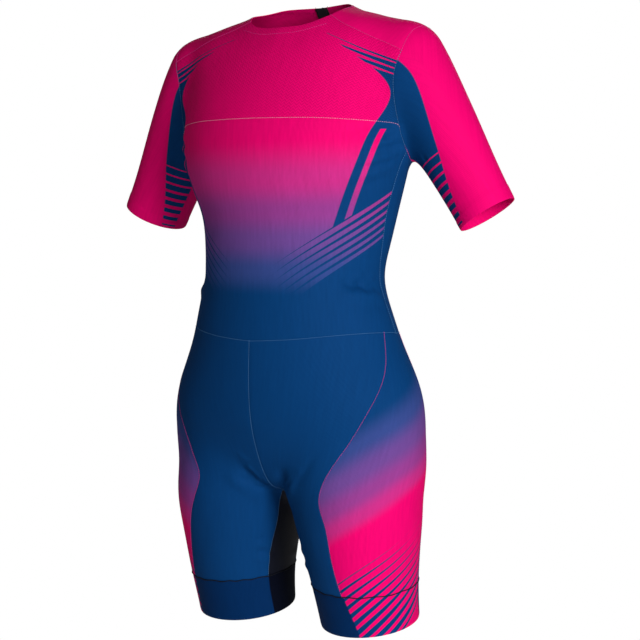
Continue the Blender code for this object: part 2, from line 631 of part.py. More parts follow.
def add_leg(side, name, suit):
    line = {seam_name: named_seam(seam_name, side) for seam_name in SEAMS}
    turn = ["side_front", "side_back", "inner_back", "inner_front"]
    arcs, angles = {}, []
    for first, last in zip(turn, turn[1:] + turn[:1]):
        start, stop = (seam_angle(seam_name, CUFF_SEAM["middle"][2], side) for seam_name in (first, last))
        stop += 360 if stop < start else 0
        between = np.linspace(start, stop, CUFF_ARCS[first] + 1)
        arcs[first] = leg_ring(CUFF_SEAM, between, side)
        angles += list(between[:-1])
    ends = {seam_name: arcs[seam_name][0, :3] for seam_name in turn}

    rows = COUNTS["centre_front"] + INNER_LEG_ROWS
    starts = {"side_front": SIDE_PANEL_FRONT, "side_back": SIDE_PANEL_BACK,
              "inner_front": [CROTCH_FRONT], "inner_back": [CROTCH_BACK]}
    seams = {}
    for seam_name, heights in LEG_SEAM_GUIDES.items():
        count = INNER_LEG_ROWS if seam_name.startswith("inner") else rows
        seams[seam_name] = leg_seam(starts[seam_name], seam_name, heights, ends[seam_name], count, side)
    side_front, side_back, inner_front, inner_back = (seams[seam_name] for seam_name in LEG_SEAM_GUIDES)

    front_grid = fill(arcs["inner_front"], line["waist_front"],
                      join(line["centre_front"], inner_front)[::-1], side_front[::-1])
    cloth("shorts_front_" + name, front_grid, "knit", suit)
    narrow_top = refined(join(line["waist_side_front"], line["waist_side_back"]), SIDE_PANEL_PARTS)
    broad_foot = refined(arcs["side_front"], (len(narrow_top) - 1) // CUFF_ARCS["side_front"])
    side_grid = fill(broad_foot, narrow_top, side_front[::-1], side_back[::-1])
    cloth("shorts_side_" + name, side_grid, "knit", suit)
    back_grid = fill(arcs["side_back"], join(line["waist_back"], line["waist_zip"]), side_back[::-1],
                     join(line["centre_back"], inner_back)[::-1])
    cloth("shorts_back_" + name, back_grid, "knit", suit)
    inner_grid = fill(arcs["inner_back"], line["crotch"][::-1], refined(inner_back, INNER_PANEL_PARTS)[::-1],
                      refined(inner_front, INNER_PANEL_PARTS)[::-1])
    cloth("inner_thigh_" + name, inner_grid, "knit", suit)

    ring = leg_ring(CUFF_SEAM, angles, side)
    cuff_grid = around(ring, leg_ring(HEM, angles, side), CUFF_ROWS)
    cloth("leg_cuff_" + name, cuff_grid, "gripper", suit, tube=True)


# ---------------------------------------------------------------- zip
def zip_strip(edge, half_width, count, low_side=-1.0):
    """A strip level with the back panels' edges, from the middle or from side to side."""
    share = np.linspace(low_side, 1, count + 1)
    grid = np.repeat(edge[:, None, :3], count + 1, axis=1)
    grid[..., 0] = np.reshape(half_width, (-1, 1)) * share
    return dressed(settle(grid, plane=np.array((0.0, 0.0, 1.0))))


def sunk(grid):
    """The grid a little deeper in beside the neckline."""
    low, high = TAPE_SINK_HEIGHTS
    grid = grid.copy()
    grid[..., :3] -= grid[..., 3:] * TAPE_SINK * smooth_step((grid[..., 2:3] - low) / (high - low))
    return grid


def add_zip(edge, suit):
    tape = sunk(zip_strip(edge, TAPE_REACH, 2, low_side=0.0))
    for name, turn in (("left", 1), ("right", MIRROR)):
        cloth("zip_tape_" + name, tape * turn, "tape", suit, wall=TAPE_WALL, depth=WALL + SEAM_GAP)
    coil = edge.copy()
    coil[0, 2] += COIL_STOP
    coil_grid = zip_strip(coil, COIL_HALF_WIDTH, 2)
    cloth("zip_coil", coil_grid, "coil", suit, wall=WALL + COIL_PROUD, depth=-COIL_PROUD)
    guard = edge.copy()
    guard[-1, :3] += unit(edge[-1, :3] - edge[-2, :3]) * GUARD_RISE
    half_width = np.where(edge[:, 2] > edge[-1, 2] - GUARD_TOP_LENGTH, GUARD_TOP_HALF_WIDTH, GUARD_HALF_WIDTH)
    guard_grid = sunk(zip_strip(guard, half_width, 2))
    cloth("zip_guard", guard_grid, "tape", suit, wall=TAPE_WALL, depth=WALL + TAPE_WALL + 2 * SEAM_GAP)

    middle = settle(np.array((0.0, edge[-1, 1], edge[-1, 2] - SLIDER_DROP)))
    outward = unit(slope_of_form(middle))
    tilt = math.atan2(outward[2], outward[1])
    add_slider(middle, tilt, suit)
    add_pull_tab(middle + outward * PIN_HEIGHT, tilt, suit)


def box(middle, size):
    """A block as a mesh of its own: side, outward, up."""
    shell = bmesh.new()
    bmesh.ops.create_cube(shell, size=1.0)
    bmesh.ops.scale(shell, vec=size, verts=shell.verts)
    bmesh.ops.translate(shell, vec=middle, verts=shell.verts)
    return shell


def rod(radius, length, sides=20):
    """A rod through the middle, along the side axis, with a flat to the front, back, top and bottom."""
    shell = bmesh.new()
    bmesh.ops.create_cone(shell, cap_ends=True, segments=sides, radius1=radius, radius2=radius, depth=length)
    half_step = Matrix.Rotation(math.pi / sides, 3, "Z")
    bmesh.ops.rotate(shell, matrix=Matrix.Rotation(math.radians(90), 3, "Y") @ half_step, verts=shell.verts)
    return shell


def place(shell, tilt, at=(0.0, 0.0, 0.0)):
    bmesh.ops.rotate(shell, matrix=Matrix.Rotation(tilt, 3, "X"), verts=shell.verts)
    bmesh.ops.translate(shell, vec=at, verts=shell.verts)
    return shell


def add_helper(name, shell, helpers):
    mesh = bpy.data.meshes.new(name)
    shell.to_mesh(mesh)
    shell.free()
    made = bpy.data.objects.new(name, mesh)
    made.hide_render = True
    made.hide_viewport = True
    helpers.objects.link(made)
    return made


def combine(target, helper, operation):
    step = target.modifiers.new(operation.lower() + "_" + helper.name, "BOOLEAN")
    step.operation = operation
    step.object = helper
    step.solver = "EXACT"


def add_slider(middle, tilt, suit):
    helpers = bpy.data.collections["cutters"]
    width, length, thick = SLIDER_SIZE
    plate = box((0.0, SLIDER_LIFT + thick / 2, 0.0), (width, thick, length))
    corners = [edge for edge in plate.edges if abs(edge.verts[0].co.y - edge.verts[1].co.y) > thick / 2]
    bmesh.ops.bevel(plate, geom=corners, offset=SLIDER_CORNER, segments=4, profile=0.5, affect="EDGES")
    slider = add_mesh("zip_slider", place(plate, tilt, middle), "metal", suit)
    low, high = SLIDER_LIFT + thick / 2, PIN_HEIGHT + LUG_ABOVE_PIN
    for side, name in ((1, "lug_left"), (-1, "lug_right")):
        lug_middle = (side * (LUG_INSIDE + LUG_WIDTH / 2), (low + high) / 2, 0.0)
        lug = place(box(lug_middle, (LUG_WIDTH, high - low, LUG_LENGTH)), tilt, middle)
        combine(slider, add_helper(name, lug, helpers), "UNION")
    pin = rod(PIN_RADIUS, 2 * LUG_INSIDE + LUG_WIDTH)
    bmesh.ops.translate(pin, vec=(0.0, PIN_HEIGHT, 0.0), verts=pin.verts)
    combine(slider, add_helper("pin", place(pin, tilt, middle), helpers), "UNION")


def add_pull_tab(pivot, tilt, suit):
    """A tab hanging from an eye round the slider's pin, its origin on the pin's axis."""
    helpers = bpy.data.collections["cutters"]
    foot = TAB_HALF_WIDTH
    half = [(TAB_NECK_HALF_WIDTH, 0.0), (TAB_NECK_HALF_WIDTH, -TAB_NECK_END), (foot, -TAB_WIDE_START)]
    outline = [(-x, z) for x, z in half]
    outline += [(-foot * math.cos(turn), -TAB_LENGTH + foot * (1 - math.sin(turn)))
                for turn in np.linspace(0, math.pi, 9)]
    outline += half[::-1]
    shell = bmesh.new()
    face = shell.faces.new([shell.verts.new((x, -TAB_WALL, z)) for x, z in outline])
    made = bmesh.ops.extrude_face_region(shell, geom=[face], use_keep_orig=True)["geom"]
    moved = [part for part in made if isinstance(part, bmesh.types.BMVert)]
    bmesh.ops.translate(shell, vec=(0.0, TAB_WALL, 0.0), verts=moved)
    bmesh.ops.recalc_face_normals(shell, faces=list(shell.faces))
    tab = add_mesh("zip_pull_tab", place(shell, tilt), "metal", suit)
    tab.location = pivot
    eye = add_helper("eye", place(rod(EYE_RADIUS, 2 * EYE_HALF_WIDTH, 28), tilt), helpers)
    bore = add_helper("eye_bore", place(rod(EYE_BORE, 4 * EYE_HALF_WIDTH, 28), tilt), helpers)
    for helper, operation in ((eye, "UNION"), (bore, "DIFFERENCE")):
        helper.location = pivot
        combine(tab, helper, operation)


# ---------------------------------------------------------------- the whole suit
def main():
    for old in list(bpy.data.objects):
        bpy.data.objects.remove(old)
    suit = bpy.data.collections.new("speed_skating_skinsuit")
    helpers = bpy.data.collections.new("cutters")
    for group in (suit, helpers):
        bpy.context.scene.collection.children.link(group)
    add_bodice(suit)
    for side, name in ((1, "left"), (-1, "right")):
        add_leg(side, name, suit)


main()
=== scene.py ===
import math

import bmesh
import bpy
import numpy as np
from mathutils import Matrix, Vector


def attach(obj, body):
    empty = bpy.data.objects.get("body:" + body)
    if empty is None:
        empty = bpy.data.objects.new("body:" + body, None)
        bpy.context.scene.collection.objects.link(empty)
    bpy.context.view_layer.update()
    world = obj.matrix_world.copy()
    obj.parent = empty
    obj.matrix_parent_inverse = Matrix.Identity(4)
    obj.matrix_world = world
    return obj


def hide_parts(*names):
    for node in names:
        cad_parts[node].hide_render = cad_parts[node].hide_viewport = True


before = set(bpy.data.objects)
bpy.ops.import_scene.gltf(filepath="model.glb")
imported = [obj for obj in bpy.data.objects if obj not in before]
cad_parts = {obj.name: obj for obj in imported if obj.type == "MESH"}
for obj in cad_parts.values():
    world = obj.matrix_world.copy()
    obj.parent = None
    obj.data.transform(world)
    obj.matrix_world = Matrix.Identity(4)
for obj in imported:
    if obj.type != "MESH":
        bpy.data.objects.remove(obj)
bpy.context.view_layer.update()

print("frame loaded:", len(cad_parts), "nodes")


# camera: at the wearer's left front, at chest height, tipped a little down
view = {"azimuth": 34.0, "distance": 2.9, "height": -0.227, "lens": 120.94, "aimRight": 0.573,
        "aimDown": 4.07}
turn, pan, tip = (math.radians(view[name]) for name in ("azimuth", "aimRight", "aimDown"))
ahead = Vector((-math.sin(turn), math.cos(turn), 0.0))
toRight = Vector((math.cos(turn), math.sin(turn), 0.0))
level = ahead * math.cos(pan) + toRight * math.sin(pan)
sideways = toRight * math.cos(pan) - ahead * math.sin(pan)
looking = level * math.cos(tip) - Vector((0, 0, 1)) * math.sin(tip)
upward = sideways.cross(looking)
camera = bpy.data.objects.new("camera", bpy.data.cameras.new("camera"))
camera.data.lens = view["lens"]
camera.data.sensor_width = 36.0
facing = Matrix((sideways, upward, -looking)).transposed().to_4x4()
camera.matrix_world = Matrix.Translation(-ahead * view["distance"] + Vector((0, 0, view["height"]))) @ facing
bpy.context.scene.collection.objects.link(camera)
bpy.context.scene.camera = camera
bpy.context.scene.view_settings.view_transform = "Standard"


# the general figure that the cut fills; metres, left half, the same as the solids' own
torsoColumns = ("height", "halfWidth", "widestY", "frontY", "backY")
torso = (
    (-0.700, 0.165, 0.010, -0.055, 0.085),
    (-0.640, 0.182, 0.000, -0.080, 0.115),
    (-0.580, 0.188, -0.003, -0.107, 0.119),
    (-0.515, 0.177, 0.000, -0.117, 0.114),
    (-0.461, 0.154, -0.003, -0.116, 0.104),
    (-0.418, 0.140, -0.009, -0.114, 0.095),
    (-0.375, 0.129, -0.010, -0.113, 0.091),
    (-0.332, 0.133, 0.001, -0.111, 0.094),
    (-0.288, 0.143, 0.007, -0.111, 0.098),
    (-0.254, 0.155, 0.002, -0.118, 0.100),
    (-0.215, 0.166, -0.001, -0.121, 0.101),
    (-0.175, 0.169, 0.000, -0.118, 0.100),
    (-0.140, 0.168, 0.004, -0.109, 0.098),
    (-0.100, 0.170, 0.008, -0.093, 0.092),
    (-0.060, 0.178, 0.012, -0.075, 0.083),
    (-0.020, 0.190, 0.014, -0.057, 0.067),
    (0.020, 0.195, 0.014, -0.047, 0.054),
)
shoulderColumns = ("side", "height", "ridgeY")
shoulder = (
    (0.000, 0.006, 0.030),
    (0.050, -0.008, 0.026),
    (0.080, -0.021, 0.020),
    (0.105, -0.028, 0.018),
    (0.130, -0.036, 0.017),
    (0.187, -0.062, 0.014),
    (0.240, -0.093, 0.012),
)
legColumns = ("height", "centreX", "centreY", "halfWidth", "halfDepth")
leg = (
    (-0.900, 0.103, 0.034, 0.0640, 0.0640),
    (-0.840, 0.101, 0.023, 0.0670, 0.0670),
    (-0.785, 0.100, 0.011, 0.0715, 0.0730),
    (-0.727, 0.097, 0.004, 0.0800, 0.0825),
    (-0.680, 0.094, 0.000, 0.0870, 0.0900),
    (-0.640, 0.090, 0.000, 0.0880, 0.0930),
    (-0.580, 0.084, 0.002, 0.0780, 0.0840),
)
sleeveColumns = ("along", "halfLong", "halfShort")
sleeve = (
    (-0.050, 0.0500, 0.0460),
    (0.000, 0.0560, 0.0520),
    (0.060, 0.0560, 0.0500),
    (0.120, 0.0520, 0.0450),
    (0.180, 0.0470, 0.0400),
    (0.240, 0.0445, 0.0375),
    (0.300, 0.0420, 0.0360),
)
leanColumns = ("height", "risePerSide")
lean = ((-0.400, 0.000), (-0.300, 0.012), (-0.170, 0.018), (-0.080, 0.019), (0.000, 0.055))
figure = {
    "shoulderRound": 0.11, "crotchHeight": -0.655, "legTop": -0.560,
    "shoulderJoint": np.array((0.158, 0.017, -0.094)), "cuffCentre": np.array((0.270, 0.037, -0.292)),
    "sleeveTurn": -30.0, "armBlend": 0.042, "legBlend": 0.040, "roofBlend": 0.055,
}


def smoothCurve(knots, values):
    knots = np.array(knots, dtype=float)
    values = np.array(values, dtype=float).reshape(len(knots), -1)
    step = np.diff(knots)
    slope = np.diff(values, axis=0) / step[:, None]
    matrix, right = np.eye(len(knots)), np.zeros_like(values)
    for i in range(1, len(knots) - 1):
        matrix[i, i - 1:i + 2] = step[i - 1], 2 * (step[i - 1] + step[i]), step[i]
        right[i] = 6 * (slope[i] - slope[i - 1])
    bend = np.linalg.solve(matrix, right)

    def at(places):
        places = np.clip(np.asarray(places, dtype=float), knots[0], knots[-1])
        i = np.clip(np.searchsorted(knots, places) - 1, 0, len(knots) - 2)
        wide = (knots[i + 1] - knots[i])[..., None]
        after = (places - knots[i])[..., None] / wide
        before = 1 - after
        value = before * values[i] + after * values[i + 1]
        value = value + ((before**3 - before) * bend[i] + (after**3 - after) * bend[i + 1]) * wide**2 / 6
        return value[..., 0] if value.shape[-1] == 1 else value
    return at


def curvesOf(table, columns):
    rows = sorted(table)
    return {name: smoothCurve([row[0] for row in rows], [row[k] for row in rows])
            for k, name in enumerate(columns) if k}


def smoothMax(a, b, blend):
    overlap = np.maximum(blend - np.abs(a - b), 0.0) / blend
    return np.maximum(a, b) + overlap**3 * blend / 6


def smoothMin(a, b, blend):
    return -smoothMax(-a, -b, blend)


def outsideOfOval(across, deep, halfAcross, halfDeep, cap=0.0, capReach=1.0):
    ratio = np.sqrt((across / halfAcross)**2 + (deep / halfDeep)**2 + (cap / capReach)**2)
    return np.sqrt(across**2 + deep**2 + cap**2) * (1 - 1 / np.maximum(ratio, 1e-4))


def unit(vector):
    return vector / np.linalg.norm(vector, axis=-1, keepdims=True)


torsoAt, shoulderAt = curvesOf(torso, torsoColumns), curvesOf(shoulder, shoulderColumns)
legAt, sleeveAt = curvesOf(leg, legColumns), curvesOf(sleeve, sleeveColumns)
leanAt = curvesOf(lean, leanColumns)["risePerSide"]
joint, cuffCentre = figure["shoulderJoint"], figure["cuffCentre"]
armLength = np.linalg.norm(cuffCentre - joint)
armAxis = unit(cuffCentre - joint)
sleeveTurn = math.radians(figure["sleeveTurn"])
turned = np.array((math.cos(sleeveTurn), math.sin(sleeveTurn), 0.0))
armLong = unit(turned - armAxis * turned.dot(armAxis))
armShort = np.cross(armAxis, armLong)


def torsoForm(x, y, z):
    widest = torsoAt["widestY"](z)
    deep = np.where(y < widest, widest - torsoAt["frontY"](z), torsoAt["backY"](z) - widest)
    side = outsideOfOval(x, y - widest, torsoAt["halfWidth"](z), deep)
    ridge = y - shoulderAt["ridgeY"](x)
    roof = z - shoulderAt["height"](x) + ridge**2 / (2 * figure["shoulderRound"])
    blend = figure["roofBlend"]
    return smoothMax(smoothMax(side, roof, blend), figure["crotchHeight"] - z, blend)


def legForm(x, y, z):
    wide = legAt["halfWidth"](z)
    return outsideOfOval(x - legAt["centreX"](z), y - legAt["centreY"](z), wide, legAt["halfDepth"](z),
                         np.maximum(z - figure["legTop"], 0.0), wide)


def sleeveForm(x, y, z):
    away = np.stack((x, y, z), axis=-1) - joint
    along = away @ armAxis
    wide, thick = sleeveAt["halfLong"](along), sleeveAt["halfShort"](along)
    return outsideOfOval(away @ armLong, away @ armShort, wide, thick, np.minimum(along, 0.0), thick)


def form(points):
    x, y, z = np.abs(points[..., 0]), points[..., 1], points[..., 2]
    body = smoothMin(torsoForm(x, y, z), legForm(x, y, z), figure["legBlend"])
    body = smoothMin(body, legForm(-x, y, z), figure["legBlend"])
    return smoothMin(body, sleeveForm(x, y, z), figure["armBlend"])


def slopeOf(shape, points, step=1e-4):
    return np.stack([(shape(points + shift) - shape(points - shift)) / (2 * step)
                     for shift in np.eye(3) * step], -1)


def settle(points, plane=None, rounds=5, longestStep=0.02):
    # moves points onto the form, within a plane where one is given
    points = np.array(points, dtype=float)
    for _ in range(rounds):
        slope = slopeOf(form, points)
        if plane is not None:
            slope = slope - plane * (slope @ plane)[..., None]
        size = np.maximum((slope**2).sum(axis=-1), 1e-6)
        points = points - slope * np.clip(form(points) / size, -longestStep, longestStep)[..., None]
    return points


# creases: start and end points, rise, half width, sides; the deep ones are the solids' own
creaseColumns = ("start", "end", "rise", "width", "sides")
creases = (
    ((0.036, -0.042, -0.738), (0.029, 0.040, -0.732), 0.0024, 0.0060, "both"),      # bunched inner thigh
    ((0.038, -0.044, -0.759), (0.031, 0.036, -0.756), 0.0022, 0.0055, "both"),
    ((0.034, -0.048, -0.7485), (0.030, 0.030, -0.7440), -0.0022, 0.0034, "both"),
    ((0.036, -0.046, -0.7290), (0.030, 0.034, -0.7230), -0.0020, 0.0034, "both"),
    ((0.036, -0.040, -0.7130), (0.029, 0.036, -0.7060), 0.0016, 0.0040, "both"),
    ((0.038, -0.046, -0.7700), (0.031, 0.026, -0.7680), 0.0012, 0.0028, "right"),
    ((0.040, -0.050, -0.7230), (0.030, 0.020, -0.7180), 0.0009, 0.0036, "right"),
    ((0.038, -0.040, -0.7690), (0.031, 0.042, -0.7660), 0.0009, 0.0030, "left"),
    ((0.150, -0.060, -0.186), (0.172, -0.020, -0.181), 0.0022, 0.0060, "both"),     # below the armpit
    ((0.146, -0.066, -0.205), (0.170, -0.018, -0.192), 0.0024, 0.0060, "both"),
    ((0.142, -0.072, -0.226), (0.168, -0.014, -0.210), 0.0022, 0.0065, "both"),
    ((0.138, -0.072, -0.1970), (0.170, -0.016, -0.1865), -0.0017, 0.0036, "both"),
    ((0.134, -0.078, -0.2180), (0.168, -0.016, -0.2010), -0.0018, 0.0040, "both"),
    ((0.130, -0.082, -0.1820), (0.166, -0.032, -0.1765), -0.0013, 0.0036, "left"),
    ((0.130, -0.080, -0.2470), (0.162, -0.018, -0.2280), 0.0015, 0.0050, "left"),
    ((0.128, -0.082, -0.2360), (0.164, -0.016, -0.2190), -0.0013, 0.0040, "left"),
    ((0.126, -0.080, -0.2620), (0.156, -0.024, -0.2440), -0.0009, 0.0055, "left"),
    ((0.132, -0.078, -0.236), (0.158, -0.030, -0.224), 0.0009, 0.0050, "right"),
    ((0.115, -0.090, -0.370), (0.131, -0.005, -0.379), -0.0030, 0.0080, "both"),    # waist pinch
    ((0.112, -0.092, -0.390), (0.133, -0.005, -0.398), 0.0020, 0.0080, "both"),
    ((0.112, -0.075, -0.3775), (0.134, -0.004, -0.3885), -0.0022, 0.0038, "left"),
    ((0.118, -0.066, -0.3700), (0.134, -0.004, -0.3780), 0.0016, 0.0036, "left"),
    ((0.116, -0.062, -0.4020), (0.136, -0.006, -0.4100), -0.0010, 0.0050, "left"),
    ((0.120, -0.060, -0.3580), (0.131, -0.014, -0.3640), -0.0009, 0.0040, "both"),
    ((0.118, 0.060, -0.372), (0.090, 0.086, -0.378), -0.0014, 0.0060, "both"),      # small of the back
    ((0.124, 0.050, -0.392), (0.078, 0.090, -0.401), 0.0012, 0.0062, "both"),
    ((0.060, 0.093, -0.352), (0.020, 0.095, -0.360), -0.0009, 0.0052, "left"),
    ((0.072, 0.092, -0.384), (0.016, 0.094, -0.390), -0.0011, 0.0050, "right"),
    ((0.034, -0.094, -0.628), (0.004, -0.040, -0.664), -0.0040, 0.0080, "both"),    # front rise
    ((0.040, -0.092, -0.636), (0.008, -0.044, -0.668), -0.0018, 0.0032, "right"),
    ((0.030, -0.096, -0.618), (0.003, -0.060, -0.650), 0.0012, 0.0036, "right"),
    ((0.046, -0.090, -0.640), (0.006, -0.036, -0.672), -0.0014, 0.0030, "left"),
    ((0.050, -0.088, -0.642), (0.020, -0.035, -0.680), 0.0025, 0.0080, "both"),
    ((0.064, -0.092, -0.622), (0.026, -0.070, -0.650), 0.0010, 0.0050, "left"),
    ((0.042, -0.096, -0.604), (0.006, -0.086, -0.618), 0.0008, 0.0042, "right"),
    ((0.090, -0.098, -0.600), (0.050, -0.086, -0.650), -0.0008, 0.0055, "left"),
    ((0.040, 0.100, -0.655), (0.120, 0.094, -0.668), -0.0022, 0.0075, "both"),      # below the seat
    ((0.050, 0.092, -0.676), (0.128, 0.084, -0.684), 0.0013, 0.0065, "both"),
    ((0.020, 0.105, -0.628), (0.060, 0.110, -0.640), -0.0011, 0.0055, "left"),
    ((0.162, 0.052, -0.190), (0.140, 0.080, -0.204), 0.0018, 0.0058, "both"),       # behind the armpit
    ((0.160, 0.040, -0.212), (0.134, 0.080, -0.230), 0.0016, 0.0058, "both"),
    ((0.158, 0.030, -0.232), (0.136, 0.072, -0.252), -0.0010, 0.0048, "left"),
    ((0.196, -0.022, -0.214), (0.214, 0.010, -0.226), -0.0010, 0.0042, "left"),     # inner arm
    ((0.204, -0.020, -0.236), (0.222, 0.014, -0.244), 0.0009, 0.0044, "right"),
    ((0.196, 0.060, -0.190), (0.216, 0.072, -0.214), -0.0009, 0.0050, "both"),
    ((0.150, 0.064, -0.6500), (0.178, 0.016, -0.6560), 0.0011, 0.0030, "left"),     # outer thigh's back seam
    ((0.148, 0.064, -0.6910), (0.176, 0.018, -0.6950), 0.0012, 0.0028, "left"),
    ((0.144, 0.064, -0.7230), (0.171, 0.020, -0.7280), 0.0010, 0.0030, "left"),
    ((0.140, 0.064, -0.7520), (0.166, 0.024, -0.7550), 0.0012, 0.0026, "left"),
    ((0.095, -0.066, -0.700), (0.140, -0.050, -0.712), -0.0006, 0.0070, "left"),
    ((0.078, -0.078, -0.742), (0.128, -0.060, -0.752), 0.0005, 0.0060, "right"),
)
creasing = {
    "strength": 1.45,              # stretched cloth shows its folds more than the solids do
    "fineBelow": 0.0055,           # a fold narrower than this wanders a little
    "reach": 0.0022, "wavelength": 0.031, "phases": (1.1, 0.0, 0.4),
    "taper": 0.15,                 # a fold starts and ends at this share of its half wave
}
creaseSides = {"both": (1, -1), "left": (1,), "right": (-1,)}


def creaseHeight(points):
    x, y, z = (points[..., k] * math.tau / creasing["wavelength"] for k in range(3))
    waves = [np.sin(place + phase) for place, phase in zip((z, x, x + y), creasing["phases"])]
    bent = points + creasing["reach"] * np.stack(waves, -1)
    taper = creasing["taper"]
    height = np.zeros(points.shape[:-1])
    for fold in (dict(zip(creaseColumns, row)) for row in creases):
        near = bent if fold["width"] < creasing["fineBelow"] else points
        for side in creaseSides[fold["sides"]]:
            start, end = (np.array(fold[name]) * (side, 1, 1) for name in ("start", "end"))
            reach = end - start
            along = np.clip((near - start) @ reach / (reach @ reach), 0, 1)
            off = np.linalg.norm(near - start - along[..., None] * reach, axis=-1)
            tapered = np.sin(math.pi * (taper + (1 - 2 * taper) * along))
            height += creasing["strength"] * fold["rise"] * np.exp(-(off / fold["width"])**2) * tapered
    return height


def dressed(points):
    normals = unit(slopeOf(form, points))
    return np.concatenate((points + normals * creaseHeight(points)[..., None], normals), axis=-1)


# seams of the left half: guide points, then steps between neighbouring stitches of the mesh
zipHalfGap = 0.0055
neckShoulder, neckBackEnd = (0.063, -0.034, -0.034), (zipHalfGap, 0.058, -0.010)
shoulderEnd, chestEnd, underarm = (0.178, -0.025, -0.083), (0.171, -0.016, -0.174), (0.170, 0.000, -0.194)
waistMiddle, waistPanelFront = (0.000, -0.116, -0.454), (0.148, -0.018, -0.443)
waistSide, waistPanelBack = (0.151, 0.014, -0.444), (0.145, 0.046, -0.443)
waistZip, waistCentreBack = (zipHalfGap, 0.101, -0.436), (0.000, 0.101, -0.436)
crotchFront, crotchBack = (0.000, -0.040, -0.664), (0.000, 0.035, -0.670)
seams = {
    "neckFront": ((0.000, -0.061, -0.044), (0.020, -0.0585, -0.044), (0.040, -0.0515, -0.0425), neckShoulder),
    "neckBack": (neckBackEnd, (0.035, 0.0505, -0.011), (0.058, 0.038, -0.0135), (0.0705, 0.020, -0.018),
                 (0.0735, 0.000, -0.022), (0.070, -0.018, -0.0265), neckShoulder),
    "shoulder": (neckShoulder, (0.095, -0.040, -0.047), (0.121, -0.039, -0.056), (0.151, -0.036, -0.067),
                 shoulderEnd),
    "armholeFront": (shoulderEnd, (0.172, -0.031, -0.105), (0.170, -0.029, -0.138), chestEnd),
    "armholeLow": (chestEnd, underarm),
    "armholeBack": (underarm, (0.165, 0.026, -0.204), (0.162, 0.052, -0.190), (0.162, 0.066, -0.155),
                    (0.167, 0.064, -0.118), (0.177, 0.046, -0.082), (0.185, 0.016, -0.056),
                    (0.185, -0.008, -0.056), shoulderEnd),
    "chest": ((0.000, -0.115, -0.164), (0.050, -0.112, -0.164), (0.095, -0.098, -0.165),
              (0.130, -0.075, -0.168), chestEnd),
    "side": (waistSide, (0.138, 0.008, -0.412), (0.130, 0.003, -0.375), (0.137, -0.001, -0.325),
             (0.147, -0.005, -0.285), (0.157, -0.007, -0.250), (0.165, -0.005, -0.220), underarm),
    "waistFront": (waistMiddle, (0.060, -0.110, -0.450), (0.115, -0.080, -0.444), waistPanelFront),
    "waistSideFront": (waistPanelFront, waistSide),
    "waistSideBack": (waistSide, waistPanelBack),
    "waistBack": (waistPanelBack, (0.110, 0.082, -0.441), (0.055, 0.098, -0.438), waistZip),
    "waistZip": (waistZip, waistCentreBack),
    "centreFront": (waistMiddle, (0.000, -0.118, -0.515), (0.000, -0.110, -0.570), (0.000, -0.088, -0.625),
                    crotchFront),
    "centreBack": (waistCentreBack, (0.000, 0.116, -0.500), (0.000, 0.124, -0.560), (0.000, 0.108, -0.620),
                   crotchBack),
    "crotch": (crotchFront, (0.000, -0.005, -0.672), crotchBack),
}
sidePanelFront = (waistPanelFront, (0.158, -0.034, -0.490), (0.160, -0.051, -0.516), (0.151, -0.071, -0.550),
                  (0.134, -0.085, -0.586), (0.112, -0.093, -0.617), (0.099, -0.092, -0.640))
sidePanelBack = (waistPanelBack, (0.158, 0.055, -0.500), (0.166, 0.060, -0.560), (0.162, 0.060, -0.620))
legSeamStarts = {                  # guide points, then heights on the leg that the seam passes
    "sideFront": (sidePanelFront, (-0.665, -0.690, -0.730)),
    "sideBack": (sidePanelBack, (-0.690, -0.735)),
    "innerFront": ([crotchFront], (-0.700, -0.740)),
    "innerBack": ([crotchBack], (-0.700, -0.740)),
}
legSeamColumns = ("height", "sideFront", "sideBack", "innerBack", "innerFront")
legSeams = (
    (-0.665, 5.0, 128.0, 228.0, 284.0),
    (-0.690, 9.5, 128.0, 228.0, 282.0),
    (-0.730, 14.0, 126.0, 228.0, 282.0),
    (-0.782, 21.0, 124.0, 228.0, 282.0),
    (-0.842, 28.0, 122.0, 228.0, 282.0),
)
twistColumns = ("height", "degrees")
twist = ((-0.842, 9.0), (-0.782, 14.0), (-0.730, 11.0), (-0.690, 6.5), (-0.665, 4.0), (-0.620, 0.0))
cuffSeam = {"middle": (0.099, 0.015, -0.780), "normal": (0.03, -0.14, 1.0)}
legHem = {"middle": (0.099, 0.022, -0.834), "normal": (0.00, -0.22, 1.0)}
mesh = {
    "steps": {"neckFront": 33, "neckBack": 33, "shoulder": 39, "chest": 72, "armholeFront": 36,
              "armholeLow": 6, "armholeBack": 84, "side": 78, "waistFront": 54, "waistSideFront": 18,
              "waistSideBack": 18, "waistBack": 54, "waistZip": 6, "centreFront": 72, "centreBack": 72,
              "crotch": 24},
    "growth": {"armholeBack": 1.4},
    "cuffArcs": {"sideFront": 36, "sideBack": 60, "innerBack": 24, "innerFront": 54},
    "innerLeg": 42, "sleeveRows": 72, "cuffRows": 18, "coarse": 6,
    "seamGuides": 240, "zipGuides": 160,
    "seamSettles": 8, "netSettles": 3, "panelRelaxes": 12, "tubeRelaxes": 10,
}
legSeamAt = curvesOf(legSeams, legSeamColumns)
twistAt = curvesOf(twist, twistColumns)["degrees"]


def reachAlong(line):
    return np.concatenate(([0.0], np.cumsum(np.linalg.norm(np.diff(line[:, :3], axis=0), axis=1))))


def spread(line, count, growth=1.0):
    reach = reachAlong(line)
    at = reach[-1] * np.linspace(0, 1, count + 1)**growth
    return np.stack([np.interp(at, reach, line[:, k]) for k in range(3)], axis=1)


